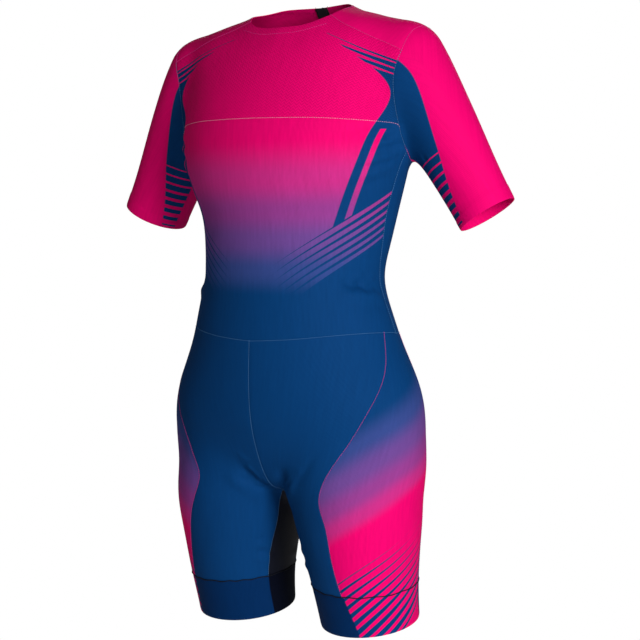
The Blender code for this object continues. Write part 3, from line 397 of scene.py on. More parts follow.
def seamLine(guides, count, side=1, growth=1.0):
    guides = np.array(guides, dtype=float) * (side, 1, 1)
    reach, rounds = reachAlong(guides), mesh["seamSettles"]
    curve = smoothCurve(reach, guides)(np.linspace(0, reach[-1], mesh["seamGuides"]))
    line = spread(settle(curve, rounds=rounds), count, growth)
    line[0], line[-1] = guides[0], guides[-1]
    line = settle(line, rounds=rounds)
    if not guides[:, 0].any():
        line[:, 0] = 0.0
    return dressed(line)


def namedSeam(name, side=1):
    return seamLine(seams[name], mesh["steps"][name], side, mesh["growth"].get(name, 1.0))


def join(*lines):
    return np.concatenate([lines[0]] + [line[1:] for line in lines[1:]])


mirror = np.array((-1, 1, 1, -1, 1, 1))


def whole(line):
    return join(line[::-1] * mirror, line)


def seamAngle(name, height, side):
    return float(legSeamAt[name](height)) - side * float(twistAt(height))


def legPoint(degrees, side, height=None, plane=None, rounds=5):
    around = math.radians(degrees)
    if plane:
        height = plane["middle"][2]
    for _ in range(rounds):
        x = float(legAt["centreX"](height) + legAt["halfWidth"](height) * math.sin(around))
        y = float(legAt["centreY"](height) - legAt["halfDepth"](height) * math.cos(around))
        if plane:
            (mx, my, mz), (nx, ny, nz) = plane["middle"], plane["normal"]
            height = mz - (nx * (x - mx) + ny * (y - my)) / nz
    return np.array((side * x, y, height))


def legRing(plane, angles, side):
    normal = unit(np.array(plane["normal"]) * (side, 1, 1))
    ring = [legPoint(angle, side, plane=plane) for angle in angles]
    return dressed(settle(ring, plane=normal, rounds=mesh["seamSettles"]))


# panels as grids of points: a coarse net is relaxed on the form, then refined between its seams
def coons(bottom, top, left, right):
    low, high, near, far = (reachAlong(line) / reachAlong(line)[-1] for line in (bottom, top, left, right))
    rise, place = np.linspace(0, 1, len(left))[:, None], np.linspace(0, 1, len(bottom))[None, :]
    u = ((1 - rise) * low + rise * high)[..., None]
    v = ((1 - place) * near[:, None] + place * far[:, None])[..., None]
    corners = (1 - v) * ((1 - u) * bottom[0] + u * bottom[-1]) + v * ((1 - u) * top[0] + u * top[-1])
    return (1 - v) * bottom + v * top + (1 - u) * left[:, None] + u * right[:, None] - corners


def resample(net, count):
    curve = smoothCurve(np.linspace(0, 1, len(net)), net)
    return curve(np.linspace(0, 1, count)).reshape(count, *net.shape[1:])


def refine(net, rows, across):
    return resample(resample(net, rows).transpose(1, 0, 2), across).transpose(1, 0, 2)


def fill(bottom, top, left, right):
    b, t, l, r = (line[:, :3] for line in (bottom, top, left, right))
    every = mesh["coarse"]
    net = coons(b[::every], t[::every], l[::every], r[::every])
    for _ in range(mesh["panelRelaxes"]):
        net[1:-1, 1:-1] = settle(net[1:-1, 1:-1], rounds=mesh["netSettles"])
        net[1:-1, 1:-1] = (net[:-2, 1:-1] + net[2:, 1:-1] + net[1:-1, :-2] + net[1:-1, 2:]) / 4
    net[1:-1, 1:-1] = settle(net[1:-1, 1:-1])
    points = refine(net, len(l), len(b))
    points += coons(b - points[0], t - points[-1], l - points[:, 0], r - points[:, -1])
    grid = np.zeros(points.shape[:2] + (6,))
    grid[1:-1, 1:-1] = dressed(settle(points[1:-1, 1:-1], rounds=mesh["netSettles"]))
    grid[0], grid[-1], grid[:, 0], grid[:, -1] = bottom, top, left, right
    return grid


def tube(top, bottom, rows):
    every = mesh["coarse"]
    rise = np.linspace(0, 1, rows // every + 1)[:, None, None]
    net = (1 - rise) * top[None, ::every, :3] + rise * bottom[None, ::every, :3]
    for _ in range(mesh["tubeRelaxes"]):
        net[1:-1] = settle(net[1:-1], rounds=mesh["netSettles"])
        net[1:-1] = (np.roll(net, 1, 1)[1:-1] + np.roll(net, -1, 1)[1:-1] + net[:-2] + net[2:]) / 4
    net[1:-1] = settle(net[1:-1])
    # three columns more each way, so that the ring closes smoothly
    ring = np.concatenate((net[:, -3:], net, net[:, :4]), axis=1)
    steps = (ring.shape[1] - 1) * every + 1
    points = refine(ring, rows + 1, steps)[:, 3 * every:3 * every + top.shape[0]]
    rise = np.linspace(0, 1, rows + 1)[:, None, None]
    atTop, atBottom = top[None, :, :3] - points[:1], bottom[None, :, :3] - points[-1:]
    points = points + (1 - rise) * atTop + rise * atBottom
    grid = np.zeros(points.shape[:2] + (6,))
    grid[1:-1] = dressed(settle(points[1:-1], rounds=mesh["netSettles"]))
    grid[0], grid[-1] = top, bottom
    return grid


print("form and seams ready")


# print: where the colours change, measured on the figure
printPlan = {
    "turnToMetres": 0.15,          # one radian round the torso, laid flat
    "legTurnToMetres": 0.085,
    "legEdgeToMetres": 0.07,
    "sleeveTurnToMetres": 0.045,
    "legStart": 40,                # degrees before the leg's front, where its turn begins
    "slant": math.radians(34),     # the front's side blocks are laid out square to this direction
}
frontBlock = curvesOf((
    (-0.420, 0.0040), (-0.300, 0.0460), (-0.260, 0.0595), (-0.215, 0.0770), (-0.182, 0.0925),
    (-0.160, 0.1080), (-0.146, 0.1160), (-0.128, 0.1170), (-0.109, 0.1035), (-0.090, 0.0790),
    (-0.0695, 0.0480), (-0.050, 0.0200),
), ("height", "slant"))["slant"]
backBlock = curvesOf((
    (-0.420, 36.0), (-0.360, 46.0), (-0.300, 55.0), (-0.250, 62.0), (-0.210, 68.0), (-0.170, 76.0),
    (-0.130, 84.0), (-0.110, 92.0), (-0.090, 100.0),
), ("height", "degrees"))["degrees"]
sleeveBlock = curvesOf((
    (0.0, 38.0), (0.022, 30.0), (0.040, 29.0), (0.067, 33.0), (0.108, 43.5), (0.141, 54.0), (0.170, 66.5),
    (0.193, 76.0), (0.217, 84.0), (0.240, 90.0),
), ("along", "degrees"))["degrees"]
sleeveBlockEnd = {"left": 124.0, "right": 136.0}
sleeveBlockTurn = {"left": 0.0, "right": 21.0}


def torsoTurn(points):
    x, y, z = np.abs(points[..., 0]), points[..., 1], points[..., 2]
    return np.degrees(np.arctan2(x, -(y - torsoAt["widestY"](z))))


def frontPrint(points):
    direction = printPlan["slant"]
    slant = np.abs(points[..., 0]) * math.cos(direction) + points[..., 1] * math.sin(direction)
    metres, z = printPlan["turnToMetres"] * np.radians(torsoTurn(points)), points[..., 2]
    return metres, z, slant - frontBlock(z), slant


def backPrint(points):
    degrees, z = torsoTurn(points), points[..., 2]
    block = (90 - np.abs(degrees - 90) - backBlock(z)) * math.radians(1) * printPlan["turnToMetres"]
    return printPlan["turnToMetres"] * np.radians(degrees), z, block


def sleevePrint(points, name):
    away = points * (1 if name == "left" else -1, 1, 1) - joint
    along = away @ armAxis
    degrees = np.degrees(np.arctan2(away @ armShort, away @ armLong))
    inside = np.minimum(degrees - sleeveBlock(along) - sleeveBlockTurn[name], sleeveBlockEnd[name] - degrees)
    metres = printPlan["sleeveTurnToMetres"]
    return np.radians(degrees) * metres, along, np.radians(inside) * metres


def legPrint(points, side):
    z = points[..., 2]
    x = points[..., 0] * side - legAt["centreX"](z)
    y = points[..., 1] - legAt["centreY"](z)
    start = printPlan["legStart"]
    degrees = np.mod(np.degrees(np.arctan2(x, -y)) + side * twistAt(z) + start, 360) - start
    outer = np.minimum(degrees - legSeamAt["sideFront"](z), legSeamAt["sideBack"](z) - degrees)
    inner = np.minimum(degrees - legSeamAt["innerBack"](z), legSeamAt["innerFront"](z) - degrees)
    outer, inner = (np.radians(part) * printPlan["legEdgeToMetres"] for part in (outer, inner))
    return np.radians(degrees) * printPlan["legTurnToMetres"], z, outer, inner


# shells: an outer and an inner wall with a rim, parted at the seams
clothSizes = {"wall": 0.0012, "seamGap": 0.0003, "seamDip": 0.00035, "sharpFrom": math.radians(50)}
printLabels = ("across", "height", "block", "aside")    # aside: the front's slant, or a cuff's inner block


def drawnIn(ring, inward):
    points, normals = ring[:, :3], ring[:, 3:]
    behind, onward = points - np.roll(points, 1, axis=0), np.roll(points, -1, axis=0) - points
    before, after = unit(np.cross(normals, behind)), unit(np.cross(normals, onward))
    sign = 1 if (before * inward).sum() > 0 else -1
    share = np.maximum(1 + (before * after).sum(axis=1), 0.3)
    return sign * (before + after) / share[:, None] * clothSizes["seamGap"] / 2


def parted(grid, closed):
    grid, points = grid.copy(), grid[..., :3].copy()
    if closed:
        grid[0, :, :3] += drawnIn(grid[0], points[1] - points[0])
        grid[-1, :, :3] += drawnIn(grid[-1], points[-2] - points[-1])
        return grid
    rows, across = points.shape[:2]
    ring = [(0, i) for i in range(across)] + [(j, across - 1) for j in range(1, rows)]
    ring += [(rows - 1, i) for i in range(across - 2, -1, -1)] + [(j, 0) for j in range(rows - 2, 0, -1)]
    j, i = np.array(ring).T
    inner = points.mean(axis=(0, 1))
    if across > 2:
        inner = points[np.clip(j, 1, rows - 2), np.clip(i, 1, across - 2)]
    grid[j, i, :3] += drawnIn(grid[j, i], inner - points[j, i])
    return grid


def smoothStep(values):
    values = np.clip(values, 0.0, 1.0)
    return values**2 * (3 - 2 * values)


neckMove = {"shift": 0.0115, "backEnd": 0.012, "backFade": 0.045, "sideEnd": 0.140, "sideFade": 0.085,
            "lowEnd": -0.125, "lowFade": 0.070}


def neckShift(points):
    side, y, z = np.abs(points[..., 0]), points[..., 1], points[..., 2]
    front = smoothStep((neckMove["backEnd"] - y) / neckMove["backFade"])
    near = smoothStep((neckMove["sideEnd"] - side) / neckMove["sideFade"])
    return neckMove["shift"] * front * near * smoothStep((z - neckMove["lowEnd"]) / neckMove["lowFade"])


def leaned(grid):
    # the worn pose: the neckline moves aside, and the left shoulder rises
    grid, points = grid.copy(), grid[..., :3].copy()
    slope = slopeOf(neckShift, points)
    grid[..., 3:] -= slope * (grid[..., 3] / (1 + slope[..., 0]))[..., None]
    grid[..., 0] += neckShift(points)
    rise = leanAt(grid[..., 2])
    grid[..., 2] += rise * grid[..., 0]
    grid[..., 3] -= rise * grid[..., 5]
    grid[..., 3:] = unit(grid[..., 3:])
    return grid


def edgeDip(grid, closed):
    rows, across = grid.shape[:2]
    dip = np.zeros((rows, across))
    dip[0], dip[-1] = 1, 1
    if not closed:
        dip[:, 0], dip[:, -1] = 1, 1
    return dip * clothSizes["seamDip"]


def shellFaces(number, closed, flipped):
    rows, across = number.shape
    j, i = np.meshgrid(np.arange(rows - 1), np.arange(across if closed else across - 1), indexing="ij")
    k = (i + 1) % across
    quads = np.stack((number[j, i], number[j, k], number[j + 1, k], number[j + 1, i]), -1).reshape(-1, 4)
    if flipped:
        quads = quads[:, ::-1]
    loops = [number[0], number[-1]]
    if not closed:
        loops = [np.concatenate((number[0], number[1:, -1], number[-1, -2::-1], number[-2:0:-1, 0]))]
    edges = {(a, b) for quad in quads for a, b in zip(quad, np.roll(quad, -1))}
    rim = []
    for loop in loops:
        for a, b in zip(loop, np.roll(loop, -1)):
            first, last = (a, b) if (a, b) in edges else (b, a)
            rim.append((last, first, first + number.size, last + number.size))
    return np.concatenate((quads, quads[:, ::-1] + number.size, np.array(rim)))


def layCut(shell, grid, closed):
    # the UV map "cut" holds metres along the cloth
    points, wide = grid[..., :3], grid.shape[1]
    if closed:
        points = np.concatenate((points, points[:, :1]), axis=1)
    across, down = np.zeros(points.shape[:2]), np.zeros(points.shape[:2])
    across[:, 1:] = np.cumsum(np.linalg.norm(np.diff(points, axis=1), axis=2), axis=1)
    across -= across[:, across.shape[1] // 2][:, None]
    down[1:] = np.cumsum(np.linalg.norm(np.diff(points, axis=0), axis=2), axis=0)
    down = 0.5 * (down + down[:, down.shape[1] // 2][:, None])
    corner = np.zeros(len(shell.loops), dtype=int)
    shell.loops.foreach_get("vertex_index", corner)
    corner = corner % (grid.shape[0] * wide)
    j, i = corner // wide, corner % wide
    if closed:                                         # the last column's faces run on past the net's seam
        for start in range(0, len(i), 4):
            own = i[start:start + 4]
            if own.max() - own.min() > wide // 2:
                i[start:start + 4] = np.where(own == 0, wide, own)
    flat = np.stack((across[j, i], down[j, i]), -1)
    shell.uv_layers.new(name="cut").data.foreach_set("uv", flat.reshape(-1).astype(np.float32))


def makeShell(name, grid, finish, printOf, closed=False, wall=clothSizes["wall"], depth=0.0, raised=0.0,
              dip=True):
    printed = printOf(grid[..., :3]) if printOf else ()
    grid = leaned(parted(grid, closed))
    lift = (-edgeDip(grid, closed) if dip else np.zeros(grid.shape[:2])) + raised
    outer = grid[..., :3] + grid[..., 3:] * (lift - depth)[..., None]
    inner = grid[..., :3] - grid[..., 3:] * (depth + wall)
    facing = np.cross(outer[0, 1] - outer[0, 0], outer[1, 0] - outer[0, 0]) @ grid[0, 0, 3:]
    number = np.arange(lift.size).reshape(lift.shape)
    points = np.concatenate((outer.reshape(-1, 3), inner.reshape(-1, 3)))
    shell = bpy.data.meshes.new(name)
    shell.from_pydata(points.tolist(), [], shellFaces(number, closed, facing < 0).tolist())
    shell.shade_smooth()
    shell.set_sharp_from_angle(angle=clothSizes["sharpFrom"])
    layCut(shell, grid, closed)
    for label, values in zip(printLabels, printed):
        layer = shell.attributes.new(label, "FLOAT", "POINT")
        layer.data.foreach_set("value", np.tile(values.reshape(-1), 2).astype(np.float32))
    shell.materials.append(finish)
    return newObject(name, shell)


def newObject(name, data):
    made = bpy.data.objects.new(name, data)
    bpy.context.scene.collection.objects.link(made)
    return made


# materials: one small function adds a node with its settings and links
def addNode(tree, kind, settings=None, links=None):
    node = tree.nodes.new(kind)
    for key, value in (settings or {}).items():
        if isinstance(key, int) or key in node.inputs:
            node.inputs[key].default_value = value
        else:
            setattr(node, key, value)
    for key, source in (links or {}).items():
        tree.links.new(source, node.inputs[key])
    return node


def calc(tree, operation, *terms):
    settings, links = {"operation": operation}, {}
    for place, term in enumerate(terms):
        (settings if isinstance(term, (int, float)) else links)[place] = term
    return addNode(tree, "ShaderNodeMath", settings, links).outputs[0]


def spanned(tree, value, fromLow, fromHigh, toLow=0.0, toHigh=1.0):
    span = {"From Min": fromLow, "From Max": fromHigh, "To Min": toLow, "To Max": toHigh}
    return addNode(tree, "ShaderNodeMapRange", span, {"Value": value}).outputs["Result"]


def attribute(tree, name):
    return addNode(tree, "ShaderNodeAttribute", {"attribute_name": name}).outputs["Fac"]


def crisp(tree, value, soft=0.0006):
    return spanned(tree, value, -soft, soft)


def pick(tree, factor, a, b):
    links = {"Factor": factor, "A": a, "B": b}
    return addNode(tree, "ShaderNodeMix", {"data_type": "FLOAT"}, links).outputs[0]


colours = {
    "pink": "#e8046b", "magenta": "#c22c80", "purple": "#8f3a88", "violet": "#69448c", "blue": "#344685",
    # the inner thigh's colour: a dark knit, painted nearly black with the shade that falls between the legs
    "navy": "#083b70", "cuffNavy": "#042a58", "innerThighShaded": "#070b1a",
    "pinkThread": "#d8459c", "paleThread": "#f4a9cb", "blueThread": "#4a7cae", "blackThread": "#101219",
    "tapeBlack": "#1d1921", "coilBlack": "#17161a", "lacquerBlack": "#1b1b1e",
}


def linear(name):
    parts = [int(colours[name][k:k + 2], 16) / 255 for k in (1, 3, 5)]
    return tuple(c / 12.92 if c <= 0.04045 else ((c + 0.055) / 1.055)**2.4 for c in parts) + (1.0,)


def mixed(tree, factor, first, second):
    settings, links = {"data_type": "RGBA"}, {0: factor}
    for place, colour in ((6, first), (7, second)):    # a colour's name, or a socket
        if isinstance(colour, str):
            settings[place] = linear(colour)
        else:
            links[place] = colour
    return addNode(tree, "ShaderNodeMix", settings, links).outputs[2]


def shaded(tree, colour, share):
    settings, links = {"operation": "SCALE"}, {"Scale": share}
    if isinstance(colour, str):
        settings[0] = linear(colour)[:3]
    else:
        links[0] = colour
    return addNode(tree, "ShaderNodeVectorMath", settings, links).outputs[0]


def scaledUv(tree, size):
    uv = addNode(tree, "ShaderNodeUVMap", {"uv_map": "cut"}).outputs["UV"]
    return addNode(tree, "ShaderNodeVectorMath", {"operation": "MULTIPLY", 1: size}, {0: uv}).outputs[0]


def speckle(tree, scale, detail):
    place = addNode(tree, "ShaderNodeTexCoord").outputs["Object"]
    noise = addNode(tree, "ShaderNodeTexNoise", {"Scale": scale, "Detail": detail}, {"Vector": place})
    return noise.outputs["Fac"]


def newMaterial(name):
    made = bpy.data.materials.new(name)
    made.use_nodes = True
    made.node_tree.nodes.clear()
    return made, made.node_tree


def surface(tree, settings, links):
    shader = addNode(tree, "ShaderNodeBsdfPrincipled", settings, links)
    addNode(tree, "ShaderNodeOutputMaterial", None, {"Surface": shader.outputs["BSDF"]})


# real wales are 0.5 mm apart; drawn three times as coarse, so that they show; streaks: count a metre
knit = {"wale": 0.0016, "course": 0.0014, "bump": 0.00008, "streaks": (260.0, 22.0, 0),
        "streakRange": (0.3, 0.7), "mottle": 0.05, "roughness": 0.56, "specular": 0.02, "sheen": 0.0}
wovenTape = dict(knit, wale=0.0011, course=0.0009, bump=0.00012, mottle=0.04, roughness=0.75, specular=0.2,
                 sheen=0.03)


def knitSurface(tree, colour, sizes=knit, ribs=None):
    loops = scaledUv(tree, (math.tau / sizes["wale"], math.tau / sizes["course"], 0))
    parts = addNode(tree, "ShaderNodeSeparateXYZ", None, {0: loops}).outputs
    height = calc(tree, "MULTIPLY_ADD", calc(tree, "SINE", parts[1]), 0.5, calc(tree, "SINE", parts[0]))
    if ribs is not None:
        height = calc(tree, "ADD", height, ribs)
    bump = addNode(tree, "ShaderNodeBump", {"Strength": 1.0, "Distance": sizes["bump"]}, {"Height": height})
    streak = addNode(tree, "ShaderNodeTexNoise", {"Scale": 1.0, "Detail": 3.0, "Roughness": 0.6},
                     {"Vector": scaledUv(tree, sizes["streaks"])})
    mottle = sizes["mottle"]
    light = spanned(tree, streak.outputs["Fac"], *sizes["streakRange"], 1 - mottle, 1 + mottle)
    surface(tree, {
        "Roughness": sizes["roughness"], "IOR": 1.5, "Specular IOR Level": sizes["specular"],
        "Sheen Weight": sizes["sheen"], "Sheen Roughness": 0.4,
    }, {"Base Color": shaded(tree, colour, light), "Normal": bump.outputs["Normal"]})


def rampedColour(tree, value, stops):
    ramp = addNode(tree, "ShaderNodeValToRGB", None, {"Fac": value})
    ramp.color_ramp.interpolation = "EASE"
    band = ramp.color_ramp.elements
    while len(band) < len(stops):
        band.new(0.5)
    for element, (place, name) in zip(band, stops):
        element.position, element.color = place, linear(name)
    return ramp.outputs["Color"]


stripeSoft = {"edge": 0.02, "start": 0.05}             # shares of a stripe's pitch


def stripeMask(tree, u, v, plan):
    # even stripes slope across the cloth, and widen from one end to the other
    slanted = calc(tree, "MULTIPLY_ADD", u, plan["slope"], v)
    turns = calc(tree, "DIVIDE", calc(tree, "SUBTRACT", slanted, plan["low"]), plan["pitch"])
    place = v if plan.get("widenDown") else u
    share = spanned(tree, place, plan["from"], plan["to"], plan["thin"] / 2, plan["thick"] / 2)
    inside = calc(tree, "SUBTRACT", share, calc(tree, "PINGPONG", turns, 0.5))
    edge = crisp(tree, inside, stripeSoft["edge"])
    below = calc(tree, "LESS_THAN", turns, (plan["high"] - plan["low"]) / plan["pitch"])
    band = calc(tree, "MULTIPLY", calc(tree, "GREATER_THAN", turns, 0.0), below)
    fadeIn = spanned(tree, share, 0.0, stripeSoft["start"])
    return calc(tree, "MULTIPLY", calc(tree, "MULTIPLY", edge, band), fadeIn), band, turns


torsoColours = {
    "pinkAbove": -0.190, "navyBelow": -0.395,
    "stops": ((0.0, "navy"), (0.17, "blue"), (0.36, "violet"), (0.54, "purple"), (0.74, "magenta"),
              (1.0, "pink")),
}
rakeStripes = {"slope": -0.55, "low": -0.449, "high": -0.381, "pitch": 0.0113,
               "from": 0.050, "to": 0.240, "thin": 0.03, "thick": 0.70}
pinStripe = {"from": 0.0125, "to": 0.0200, "top": -0.181}
shoulderFlash = {"slope": 0.385, "low": -0.0672, "high": -0.0447, "pitch": 0.0075,
                 "from": 0.045, "to": 0.120, "thin": 0.20, "thick": 0.80}
# the open knit's zigzag ribs, drawn 7 mm across; dark and light scale the colour with the ribs' height:
# painted shade in the grooves, painted highlight on the crests
zigzag = {"halfRepeat": 0.0035, "slope": 1.1, "pitch": 0.0042, "rise": 2.2, "dark": 0.86, "light": 1.07}


def frontStripes(tree, u, v, block):
    # one even pink stripe inside the navy, slanted stripes at the waist, three at the shoulder
    middle, half = (pinStripe["to"] + pinStripe["from"]) / 2, (pinStripe["to"] - pinStripe["from"]) / 2
    out = calc(tree, "SUBTRACT", calc(tree, "ABSOLUTE", calc(tree, "SUBTRACT", block, middle)), half)
    out = calc(tree, "ADD", out, calc(tree, "GREATER_THAN", v, pinStripe["top"]))
    side = calc(tree, "MINIMUM", crisp(tree, block), crisp(tree, out))
    rake, rakeBand, rakeTurns = stripeMask(tree, u, v, rakeStripes)
    side = pick(tree, rakeBand, side, rake)
    side = calc(tree, "MAXIMUM", side, calc(tree, "LESS_THAN", rakeTurns, 0.0))
    flash, _, flashTurns = stripeMask(tree, attribute(tree, "aside"), v, shoulderFlash)
    flash = calc(tree, "MULTIPLY", flash, side)
    return pick(tree, calc(tree, "GREATER_THAN", flashTurns, 0.0), side, flash)


def torsoMaterial(name, front, openKnit=False, sizes=knit):
    made, tree = newMaterial(name)
    u, v, block = (attribute(tree, label) for label in printLabels[:3])
    fade = spanned(tree, v, torsoColours["navyBelow"], torsoColours["pinkAbove"])
    side = frontStripes(tree, u, v, block) if front else crisp(tree, block)
    colour = mixed(tree, side, rampedColour(tree, fade, torsoColours["stops"]), "navy")
    ribs = None
    if openKnit:
        uv = addNode(tree, "ShaderNodeSeparateXYZ", None, {0: scaledUv(tree, (1.0, 1.0, 0))}).outputs
        cell = calc(tree, "PINGPONG", uv[0], zigzag["halfRepeat"])
        rows = calc(tree, "MULTIPLY_ADD", cell, zigzag["slope"], uv[1])
        wave = calc(tree, "SINE", calc(tree, "MULTIPLY", rows, math.tau / zigzag["pitch"]))
        ribs = calc(tree, "MULTIPLY", wave, zigzag["rise"])
        # painted shade in the rib grooves and a painted highlight on the crests, following the ribs' height
        colour = shaded(tree, colour, spanned(tree, wave, -1.0, 1.0, zigzag["dark"], zigzag["light"]))
    knitSurface(tree, colour, sizes, ribs)
    return made


sleeveBars = {"slope": 0.0, "low": 0.128, "high": 0.224, "pitch": 0.0120, "from": 0.128, "to": 0.224,
              "thin": 0.90, "thick": 0.42, "widenDown": True}


def sleeveMaterial(name):
    made, tree = newMaterial(name)
    u, v, block = (attribute(tree, label) for label in printLabels[:3])
    bars, band, _ = stripeMask(tree, u, v, sleeveBars)
    solid = calc(tree, "MULTIPLY", crisp(tree, block), calc(tree, "LESS_THAN", v, sleeveBars["high"]))
    mask = pick(tree, band, solid, calc(tree, "MULTIPLY", solid, bars))
    knitSurface(tree, mixed(tree, mask, "pink", "navy"))
    return made


thighColours = {
    "tilt": -0.63, "from": -0.589, "to": -0.739,
    "stops": ((0.0, "navy"), (0.22, "blue"), (0.46, "violet"), (0.67, "purple"), (0.85, "magenta"),
              (1.0, "pink")),
}
hemStripes = {"slope": -0.62, "low": -0.915, "high": -0.790, "pitch": 0.0125, "from": -0.715, "to": -0.835,
              "thin": 0.04, "thick": 0.62, "widenDown": True}


def thighMaterial(name, cuff=False):
    made, tree = newMaterial(name)
    u, v = (attribute(tree, label) for label in printLabels[:2])
    tilted = calc(tree, "MULTIPLY_ADD", u, thighColours["tilt"], v)
    fade = spanned(tree, tilted, thighColours["from"], thighColours["to"])
    stripes = stripeMask(tree, u, v, hemStripes)[0]
    colour = mixed(tree, stripes, rampedColour(tree, fade, thighColours["stops"]), "navy")
    if cuff:                                           # printed only at the outer side; the inner side takes the inner thigh's near-black, painted with the shade between the legs
        colour = mixed(tree, crisp(tree, attribute(tree, "block")), "cuffNavy", colour)
        colour = mixed(tree, crisp(tree, attribute(tree, "aside")), colour, "innerThighShaded")
    knitSurface(tree, colour)
    return made


def plainMaterial(name, colour, sizes=knit):
    made, tree = newMaterial(name)
    knitSurface(tree, colour, sizes)
    return made


finishes = {
    # polyester-elastane warp knit with open ribs, dye-sublimated: matt; its zigzags get painted shade in
    # their grooves and a painted highlight on their crests
    "chest": torsoMaterial("warpKnitMeshPrinted", True, True),
    # the same yarn knitted close, the ink in the fibre: deep even colour, faint upright streaks
    "front": torsoMaterial("warpKnitPrintedFront", True, sizes=dict(knit, mottle=0.06)),
    # the same cloth and ink on the other panels: even pink and navy without gloss
    "back": torsoMaterial("warpKnitPrintedBack", False),
    "sleeve": sleeveMaterial("warpKnitPrintedSleeve"),
    "navy": plainMaterial("warpKnitNavy", "navy"),
    "thigh": thighMaterial("warpKnitPrintedThigh"),
    # power net, dyed before it is printed: darker and flatter than the knit above it
    "cuff": thighMaterial("powerNetCuff", True),
    # close polyamide knit against chafing: a dark knit, painted nearly black with the shade between the legs,
    # and a little gloss on its folds
    "inner": plainMaterial("closeKnitInnerThighShaded", "innerThighShaded", dict(knit, roughness=0.5, specular=0.12)),
    # woven polyester tape: a dull black with a fine grain
    "tape": plainMaterial("wovenZipTape", "tapeBlack", wovenTape),
}
print("materials ready")


# the panels
line = {name: namedSeam(name) for name in seams}
stitchRows = []                                        # thread colour, dressed line
elasticRows = []
sheets = []


def addPanel(name, node, grid, finish, printOf, slot, **more):
    piece = makeShell(name, grid, finishes[finish], printOf, **more)
    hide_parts(node)
    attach(piece, "suit")
    sheets.append((piece, grid, more.get("closed", False)))


frontHalf = join(line["waistFront"], line["waistSideFront"])
frontEdge = join(line["side"], line["armholeLow"][::-1])
frontGrid = fill(whole(frontHalf), whole(line["chest"]), frontEdge * mirror, frontEdge)
addPanel("frontBody", "front_body", frontGrid, "front", frontPrint, "knit_printed_front")

neckline = join(line["neckFront"], line["shoulder"])
armholeUp = line["armholeFront"][::-1]
chestGrid = fill(whole(line["chest"]), whole(neckline), armholeUp * mirror, armholeUp)
addPanel("frontChest", "front_chest", chestGrid, "chest", frontPrint, "mesh_knit_pink")

heights = np.linspace(waistZip[2], neckBackEnd[2], mesh["zipGuides"])
zipLine = np.stack((np.full(len(heights), zipHalfGap), torsoAt["backY"](heights), heights), axis=1)
zipLine = settle(zipLine, rounds=mesh["seamSettles"])
zipEdge = spread(zipLine, mesh["steps"]["side"] + mesh["steps"]["armholeBack"])
zipEdge[0], zipEdge[-1] = waistZip, neckBackEnd
zipEdge = dressed(settle(zipEdge, rounds=mesh["seamSettles"]))
zipEdge[0], zipEdge[-1] = line["waistBack"][-1], line["neckBack"][0]
waistHalf = join(line["waistBack"][::-1], line["waistSideBack"][::-1])
backTop, backSide = join(line["neckBack"], line["shoulder"]), join(line["side"], line["armholeBack"])
backGrid = fill(waistHalf, backTop, zipEdge, backSide)

armhole = join(line["armholeFront"], line["armholeLow"], line["armholeBack"])[:-1]
away = armhole[:, :3] - joint
turns = np.unwrap(np.arctan2(away @ armShort, away @ armLong))
even = turns[0] + math.copysign(math.tau, turns[-1] - turns[0]) * np.arange(len(turns)) / len(turns)
turns = even + (turns - even).mean()
wide, thick = sleeveAt["halfLong"](armLength), sleeveAt["halfShort"](armLength)
cuffRing = [cuffCentre + armLong * wide * math.cos(a) + armShort * thick * math.sin(a) for a in turns]
sleeveHem = dressed(settle(cuffRing, plane=armAxis, rounds=mesh["seamSettles"]))
sleeveGrid = tube(armhole, sleeveHem, mesh["sleeveRows"])
hem = {"sleeveDepth": 0.020, "rise": 0.0005}
fromHem = reachAlong(sleeveGrid[::-1, 0])[::-1]
sleeveRise = np.where(fromHem < hem["sleeveDepth"], hem["rise"], 0.0)[:, None] * np.ones(len(armhole))
hemRow = int(np.argmin(np.abs(fromHem - hem["sleeveDepth"])))
for name, toSide in (("left", 1), ("right", mirror)):
    addPanel("back" + name.title(), "back_" + name, backGrid * toSide, "back", backPrint, "knit_pink")
    addPanel("sleeve" + name.title(), "sleeve_" + name, sleeveGrid * toSide, "sleeve",
             lambda points, name=name: sleevePrint(points, name), "knit_pink", closed=True, raised=sleeveRise)
print("bodice and sleeves made")


def legSeam(start, label, levels, end, count, side):
    guides = [np.array(point) * (side, 1, 1) for point in start]
    guides += [legPoint(seamAngle(label, height, side), side, height) for height in levels]
    return seamLine(guides + [end], count)


def cuffArcs(side):
    order = legSeamColumns[1:]
    arcs, angles = {}, []
    for first, last in zip(order, order[1:] + order[:1]):
        start, stop = (seamAngle(label, cuffSeam["middle"][2], side) for label in (first, last))
        stop += 360 if stop < start else 0
        between = np.linspace(start, stop, mesh["cuffArcs"][first] + 1)
        arcs[first] = legRing(cuffSeam, between, side)
        angles += list(between[:-1])
    return arcs, angles


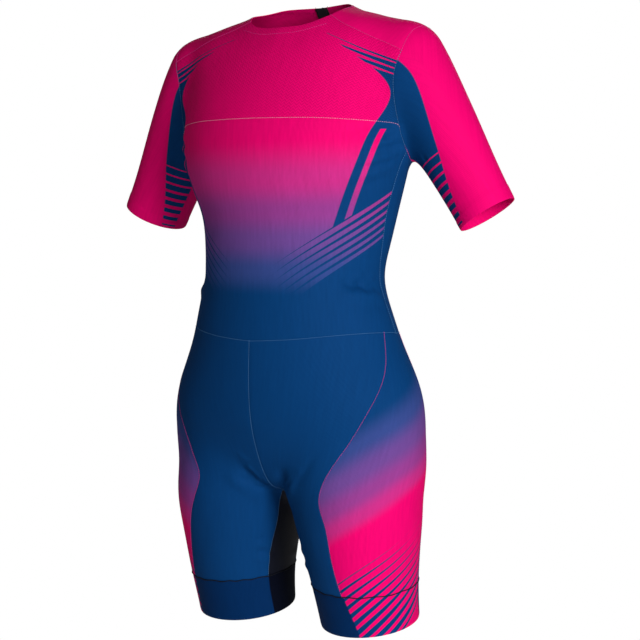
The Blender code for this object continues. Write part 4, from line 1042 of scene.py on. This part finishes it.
for name, side in (("left", 1), ("right", -1)):
    own = {label: namedSeam(label, side) for label in seams}
    arcs, angles = cuffArcs(side)
    legLine = {}
    for label, (start, levels) in legSeamStarts.items():
        outer = label.startswith("side")               # from the waist; the inner ones are from the crotch
        count = mesh["innerLeg"] + (mesh["steps"]["centreFront"] if outer else 0)
        legLine[label] = legSeam(start, label, levels, arcs[label][0, :3], count, side)
        stitchRows.append(("pinkThread" if outer else "blueThread", legLine[label]))
    up = {label: row[::-1] for label, row in legLine.items()}
    frontMiddle = join(own["centreFront"], legLine["innerFront"])[::-1]
    backMiddle = join(own["centreBack"], legLine["innerBack"])[::-1]
    sideTop = join(own["waistSideFront"], own["waistSideBack"])
    backTop = join(own["waistBack"], own["waistZip"])
    for label, finish, slot, edges in (
        ("front", "navy", "knit_navy", (arcs["innerFront"], own["waistFront"], frontMiddle, up["sideFront"])),
        ("side", "thigh", "knit_printed_side", (arcs["sideFront"], sideTop, up["sideFront"], up["sideBack"])),
        ("back", "navy", "knit_navy", (arcs["sideBack"], backTop, up["sideBack"], backMiddle)),
    ):
        addPanel("shorts" + label.title() + name.title(), f"shorts_{label}_{name}", fill(*edges), finish,
                 (lambda points, side=side: legPrint(points, side)) if label == "side" else None, slot)
    innerGrid = fill(arcs["innerBack"], own["crotch"][::-1], up["innerBack"], up["innerFront"])
    addPanel("innerThighShaded" + name.title(), "inner_thigh_" + name, innerGrid, "inner", None, "knit_dark_navy")
    ring = legRing(cuffSeam, angles, side)
    cuffGrid = tube(ring, legRing(legHem, angles, side), mesh["cuffRows"])
    addPanel("legCuff" + name.title(), "leg_cuff_" + name, cuffGrid, "cuff",
             lambda points, side=side: legPrint(points, side), "gripper_knit", closed=True)
    elasticRows.append(join(ring, ring[:1]))
print("shorts made")


# zip: tapes, guard and teeth; the slider and its tab are the solids' own
zipSizes = {"tapeReach": 0.0100, "tapeWall": 0.0010, "guardTop": 0.0078, "guardHalf": 0.0062,
            "guardRise": 0.0015, "flareEnd": 0.054, "flareLength": 0.030, "coilHalf": 0.0012,
            "coilDepth": 0.0006}


def zipStrip(edge, halfWidth, count, lowSide=-1.0):
    share = np.linspace(lowSide, 1, count + 1)
    grid = np.repeat(edge[:, None, :3], count + 1, axis=1)
    grid[..., 0] = np.reshape(halfWidth, (-1, 1)) * share
    return dressed(settle(grid, plane=np.array((0.0, 0.0, 1.0))))


tape = zipStrip(zipEdge, zipSizes["tapeReach"], 6, 0.0)
for name, toSide in (("left", 1), ("right", mirror)):
    addPanel("zipTape" + name.title(), "zip_tape_" + name, tape * toSide, "tape", None, "zip_tape", dip=False,
             wall=zipSizes["tapeWall"], depth=clothSizes["wall"] + clothSizes["seamGap"])
guardEdge = zipEdge.copy()
guardEdge[-1, :3] += unit(zipEdge[-1, :3] - zipEdge[-2, :3]) * zipSizes["guardRise"]
# the guard widens near the neck
fromTop = zipEdge[-1, 2] - zipEdge[:, 2]
flare = np.clip((zipSizes["flareEnd"] - fromTop) / zipSizes["flareLength"], 0, 1)
guardHalf = zipSizes["guardHalf"] + (zipSizes["guardTop"] - zipSizes["guardHalf"]) * flare
guardDepth = clothSizes["wall"] + zipSizes["tapeWall"] + 2 * clothSizes["seamGap"]
addPanel("zipGuard", "zip_guard", zipStrip(guardEdge, guardHalf, 8), "tape", None, "zip_tape", dip=False,
         wall=zipSizes["tapeWall"], depth=guardDepth)


# Geometry Nodes: one small rod after another along a path, lying on the cloth
def pathPiece(name, paths):
    made = bpy.data.meshes.new(name)
    edges, first = [], 0
    for path in paths:
        edges += [(first + k, first + k + 1) for k in range(len(path) - 1)]
        first += len(path)
    every = np.concatenate(paths)
    made.from_pydata(every[:, :3].tolist(), edges, [])
    layer = made.attributes.new("lie", "FLOAT_VECTOR", "POINT")
    layer.data.foreach_set("vector", every[:, 3:].astype(np.float32).reshape(-1))
    return newObject(name, made)


def rodTree():
    tree = bpy.data.node_groups.new("rodsAlongPath", "GeometryNodeTree")
    for label, kind in (("Geometry", "Geometry"), ("Pitch", "Float"), ("Length", "Float"),
                        ("Radius", "Float"), ("Quarter Turn", "Float"), ("Seed", "Int"),
                        ("Finish", "Material")):
        tree.interface.new_socket(label, in_out="INPUT", socket_type="NodeSocket" + kind)
    tree.interface.new_socket("Geometry", in_out="OUTPUT", socket_type="NodeSocketGeometry")
    given = addNode(tree, "NodeGroupInput").outputs
    curve = addNode(tree, "GeometryNodeMeshToCurve", None, {"Mesh": given["Geometry"]})
    spaced = addNode(tree, "GeometryNodeResampleCurve", {"mode": "LENGTH"},
                     {"Curve": curve.outputs[0], "Length": given["Pitch"]})
    rod = addNode(tree, "GeometryNodeMeshUVSphere", {"Segments": 6, "Rings": 5, "Radius": 1.0})
    tangent = addNode(tree, "GeometryNodeInputTangent")
    up = addNode(tree, "GeometryNodeInputNamedAttribute", {"data_type": "FLOAT_VECTOR", "Name": "lie"})
    alongPath = addNode(tree, "FunctionNodeAxesToRotation", {"primary_axis": "Z", "secondary_axis": "X"},
                        {"Primary Axis": up.outputs["Attribute"], "Secondary Axis": tangent.outputs[0]})
    quarter = addNode(tree, "ShaderNodeCombineXYZ", None, {"Z": given["Quarter Turn"]})
    spun = addNode(tree, "FunctionNodeRotateRotation", {"rotation_space": "LOCAL"},
                   {"Rotation": alongPath.outputs[0], "Rotate By": quarter.outputs[0]})
    # lengths vary from 92 to 106 per cent
    vary = addNode(tree, "FunctionNodeRandomValue", {"data_type": "FLOAT", 2: 0.92, 3: 1.06},
                   {"Seed": given["Seed"]})
    halfLength = calc(tree, "MULTIPLY", given["Length"], vary.outputs[1])
    size = addNode(tree, "ShaderNodeCombineXYZ", None,
                   {"X": halfLength, "Y": given["Radius"], "Z": given["Radius"]})
    placed = addNode(tree, "GeometryNodeInstanceOnPoints", None,
                     {"Points": spaced.outputs[0], "Instance": rod.outputs[0], "Rotation": spun.outputs[0],
                      "Scale": size.outputs[0]})
    real = addNode(tree, "GeometryNodeRealizeInstances", None, {"Geometry": placed.outputs[0]})
    finished = addNode(tree, "GeometryNodeSetMaterial", None,
                       {"Geometry": real.outputs[0], "Material": given["Finish"]})
    addNode(tree, "NodeGroupOutput", None, {"Geometry": finished.outputs[0]})
    return tree


rods = rodTree()


def runRods(name, paths, sizes, finish, turn=0.0):
    piece = pathPiece(name, paths)
    values = {"Pitch": sizes["pitch"], "Length": sizes["halfLength"], "Radius": sizes["radius"],
              "Quarter Turn": turn, "Seed": sizes["seed"], "Finish": finish}
    step = piece.modifiers.new("rods", "NODES")
    step.node_group = rods
    for socket in rods.interface.items_tree:
        if socket.in_out == "INPUT" and socket.name in values:
            step[socket.identifier] = values[socket.name]
    bpy.context.view_layer.update()
    made = bpy.data.meshes.new_from_object(piece.evaluated_get(bpy.context.evaluated_depsgraph_get()))
    made.name = name
    made.shade_smooth()
    piece.modifiers.remove(step)
    piece.data = made
    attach(piece, "suit")
    print(name, len(made.polygons), "faces")
    return piece


# texturised polyester thread, twisted: soft and matt, with a small change of shade along it
threadLook = {"speckle": 900.0, "dark": 0.85, "light": 1.15}


def threadMaterial(name, colour):
    made, tree = newMaterial(name)
    fleck = speckle(tree, threadLook["speckle"], 1.0)
    tint = shaded(tree, colour, spanned(tree, fleck, 0.0, 1.0, threadLook["dark"], threadLook["light"]))
    surface(tree, {"Roughness": 0.6, "Specular IOR Level": 0.1}, {"Base Color": tint})
    return made


# flatlock and coverstitch in short rods, twice the real thread's thickness; insets are mesh rows
stitch = {"pitch": 0.0030, "halfLength": 0.00125, "radius": 0.00030, "lift": 0.00010, "seed": 3,
          "neckInset": 4, "endInset": 2, "zipInset": 1}
stitchColumns = ("seam", "thread", "laid")
stitches = (
    ("waistFront", "blueThread", "whole"), ("waistSideFront", "blueThread", "twice"),
    ("centreFront", "blueThread", "once"), ("centreBack", "blueThread", "once"),
    ("chest", "paleThread", "whole"), ("waistSideBack", "blueThread", "twice"),
    ("waistBack", "blueThread", "twice"), ("shoulder", "pinkThread", "twice"),
    ("armholeFront", "blueThread", "twice"), ("armholeLow", "blueThread", "twice"),
    ("armholeBack", "pinkThread", "twice"), ("side", "blueThread", "twice"),
)
for row in (dict(zip(stitchColumns, values)) for values in stitches):
    seam = line[row["seam"]]
    if row["laid"] == "whole":
        seam = whole(seam)
    stitchRows.append((row["thread"], seam))
    if row["laid"] == "twice":
        stitchRows.append((row["thread"], seam * mirror))
for toSide in (1, mirror):
    row = sleeveGrid[hemRow] * toSide
    stitchRows.append(("paleThread", join(row, row[:1])))
    stitchRows.append(("blackThread", backGrid[:, stitch["zipInset"]] * toSide))
neckReach, middle = mesh["steps"]["neckFront"] - stitch["endInset"], mesh["steps"]["chest"]
neckRow = -stitch["neckInset"]
stitchRows.append(("pinkThread", chestGrid[neckRow, middle - neckReach:middle + neckReach + 1]))
for toSide in (1, mirror):
    stitchRows.append(("pinkThread", backGrid[neckRow, stitch["endInset"]:neckReach + 1] * toSide))


def lifted(row, lift):
    row = leaned(row)
    row[:, :3] += row[:, 3:] * lift
    return row


for thread in ("blueThread", "pinkThread", "paleThread", "blackThread"):
    title = thread[0].upper() + thread[1:]
    paths = [lifted(row, stitch["lift"]) for colour, row in stitchRows if colour == thread]
    runRods("stitches" + title, paths, stitch, threadMaterial("polyester" + title, thread))

# rubber core wound with black yarn, gathered a little where the cuff is sewn on
elastic = {"pitch": 0.0021, "halfLength": 0.0017, "radius": 0.00075, "lift": 0.0002, "seed": 4,
           "wave": 0.0006, "waves": 17, "sway": 0.8, "sways": 5}
paths = []
for row in elasticRows:
    row = leaned(row)
    around = np.linspace(0, math.tau, len(row))
    sway = elastic["sway"] * np.sin(elastic["sways"] * around)
    row[:, 2] += elastic["wave"] * np.sin(elastic["waves"] * around + sway)
    row[:, :3] += row[:, 3:] * elastic["lift"]
    paths.append(row)
runRods("cuffElastic", paths, elastic, threadMaterial("coveredElastic", "blackThread"))

# nylon coil, moulded smooth: black, with small bright glints on its turns
coilTurns = {"pitch": 0.0016, "halfLength": 0.001364, "radius": 0.00042, "seed": 5}
coilLook = {"speckle": 400.0, "smooth": 0.30, "rough": 0.42}
coil, tree = newMaterial("nylonCoil")
fleck = speckle(tree, coilLook["speckle"], 2.0)
surface(tree, {"Base Color": linear("coilBlack"), "IOR": 1.53},
        {"Roughness": spanned(tree, fleck, 0.0, 1.0, coilLook["smooth"], coilLook["rough"])})
coilLines = []
for column, late in ((2, False), (0, True)):
    row = lifted(zipStrip(zipEdge, zipSizes["coilHalf"], 2)[1:, column], -zipSizes["coilDepth"])
    if late:                                           # half a turn on, so that the two rows mesh
        row[:, :3] += unit(np.gradient(row[:, :3], axis=0)) * coilTurns["pitch"] / 2
        row = row[:-1]
    coilLines.append(row)
teeth = runRods("zipTeeth", coilLines, coilTurns, coil, math.pi / 2)
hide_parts("zip_coil")
print("stitches and teeth made")

# die-cast zinc, black lacquer: satin, with a faint orange-peel
lacquerLook = {"peel": 1400.0, "depth": 0.00004, "smooth": 0.28, "rough": 0.46}
lacquer, tree = newMaterial("lacqueredZinc")
peel = speckle(tree, lacquerLook["peel"], 2.0)
gloss = spanned(tree, peel, 0.0, 1.0, lacquerLook["smooth"], lacquerLook["rough"])
relief = addNode(tree, "ShaderNodeBump", {"Strength": 0.4, "Distance": lacquerLook["depth"]},
                 {"Height": peel})
surface(tree, {"Base Color": linear("lacquerBlack"), "IOR": 1.5, "Coat Weight": 0.3},
        {"Roughness": gloss, "Normal": relief.outputs["Normal"]})
for node in ("zip_slider", "zip_pull_tab"):
    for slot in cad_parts[node].material_slots:
        slot.material = lacquer


# each panel as a sheet, cut smaller than it is worn
ease = {"across": 0.90, "down": 0.96}                  # the cut's share of the worn size
tapeSpare = 0.0002                                     # tapes keep their own size, with this to spare


def halfAreas(points, first, second):
    return np.linalg.norm(np.cross(first - points, second - points), axis=2).sum() / 2


def wornSize(grid, closed):
    points = grid[..., :3]
    if closed:
        points = np.concatenate((points, points[:, :1]), axis=1)
    across = np.linalg.norm(np.diff(points, axis=1), axis=2).sum(axis=1).max()
    down = np.linalg.norm(np.diff(points, axis=0), axis=2).sum(axis=0).max()
    low, high = points[1:, :-1], points[:-1, 1:]
    return across, down, halfAreas(points[:-1, :-1], low, high) + halfAreas(points[1:, 1:], high, low)


for piece, grid, closed in sheets:
    width, length, area = wornSize(grid, closed)
    woven = piece.name.startswith("zip")
    if woven:
        width += tapeSpare
    else:
        width, length = width * ease["across"], length * ease["down"]
        area *= ease["across"] * ease["down"]
    print("sheet", piece.name, "%.3f x %.3f m, %.4f m2" % (width, length, area))


# floor and light: a pale floor well below the hems, large soft lamps
studio = {"fill": 0.11, "floorHeight": -1.38, "floorRadius": 2.15, "aimHeight": -0.42}
floorMesh = bpy.data.meshes.new("floor")
disc = bmesh.new()
bmesh.ops.create_circle(disc, cap_ends=True, segments=96, radius=studio["floorRadius"],
                        matrix=Matrix.Translation((0, 0, studio["floorHeight"])))
disc.to_mesh(floorMesh)
disc.free()
# uncoated background paper: an even pale grey without gloss
paperLook = {"speckle": 6.0, "dark": 0.93, "light": 0.95}
pale, tree = newMaterial("palePaper")
grain = speckle(tree, paperLook["speckle"], 2.0)
grey = spanned(tree, grain, 0.0, 1.0, paperLook["dark"], paperLook["light"])
surface(tree, {"Roughness": 0.9}, {"Base Color": grey})
floorMesh.materials.append(pale)
newObject("floor", floorMesh)

lampColumns = ("name", "azimuth", "height", "distance", "size", "power")
lamps = (
    ("key", 58.0, 0.10, 2.7, 0.9, 70.0),
    ("front", 10.0, 0.40, 3.0, 1.2, 7.0),
    ("above", 34.0, 2.10, 0.7, 1.6, 1.5),
    ("behind", 205.0, 0.50, 2.6, 1.8, 14.0),
    ("farSide", 285.0, 0.30, 2.6, 1.6, 2.0),
)
for lamp in (dict(zip(lampColumns, row)) for row in lamps):
    light = bpy.data.lights.new(lamp["name"], "AREA")
    light.shape = "DISK"
    light.size, light.energy = lamp["size"], lamp["power"]
    around = math.radians(lamp["azimuth"])
    spot = Vector((math.sin(around) * lamp["distance"], -math.cos(around) * lamp["distance"], lamp["height"]))
    placed = newObject(lamp["name"], light)
    placed.location = spot
    placed.rotation_euler = (Vector((0, 0, studio["aimHeight"])) - spot).to_track_quat("-Z", "Y").to_euler()
world = bpy.data.worlds.new("studio")
world.use_nodes = True
sky = world.node_tree.nodes["Background"]
sky.inputs["Color"].default_value = (1.0, 1.0, 1.0, 1.0)
seen = addNode(world.node_tree, "ShaderNodeLightPath")
strength = spanned(world.node_tree, seen.outputs["Is Camera Ray"], 0.0, 1.0, studio["fill"], 1.0)
world.node_tree.links.new(strength, sky.inputs["Strength"])
bpy.context.scene.world = world
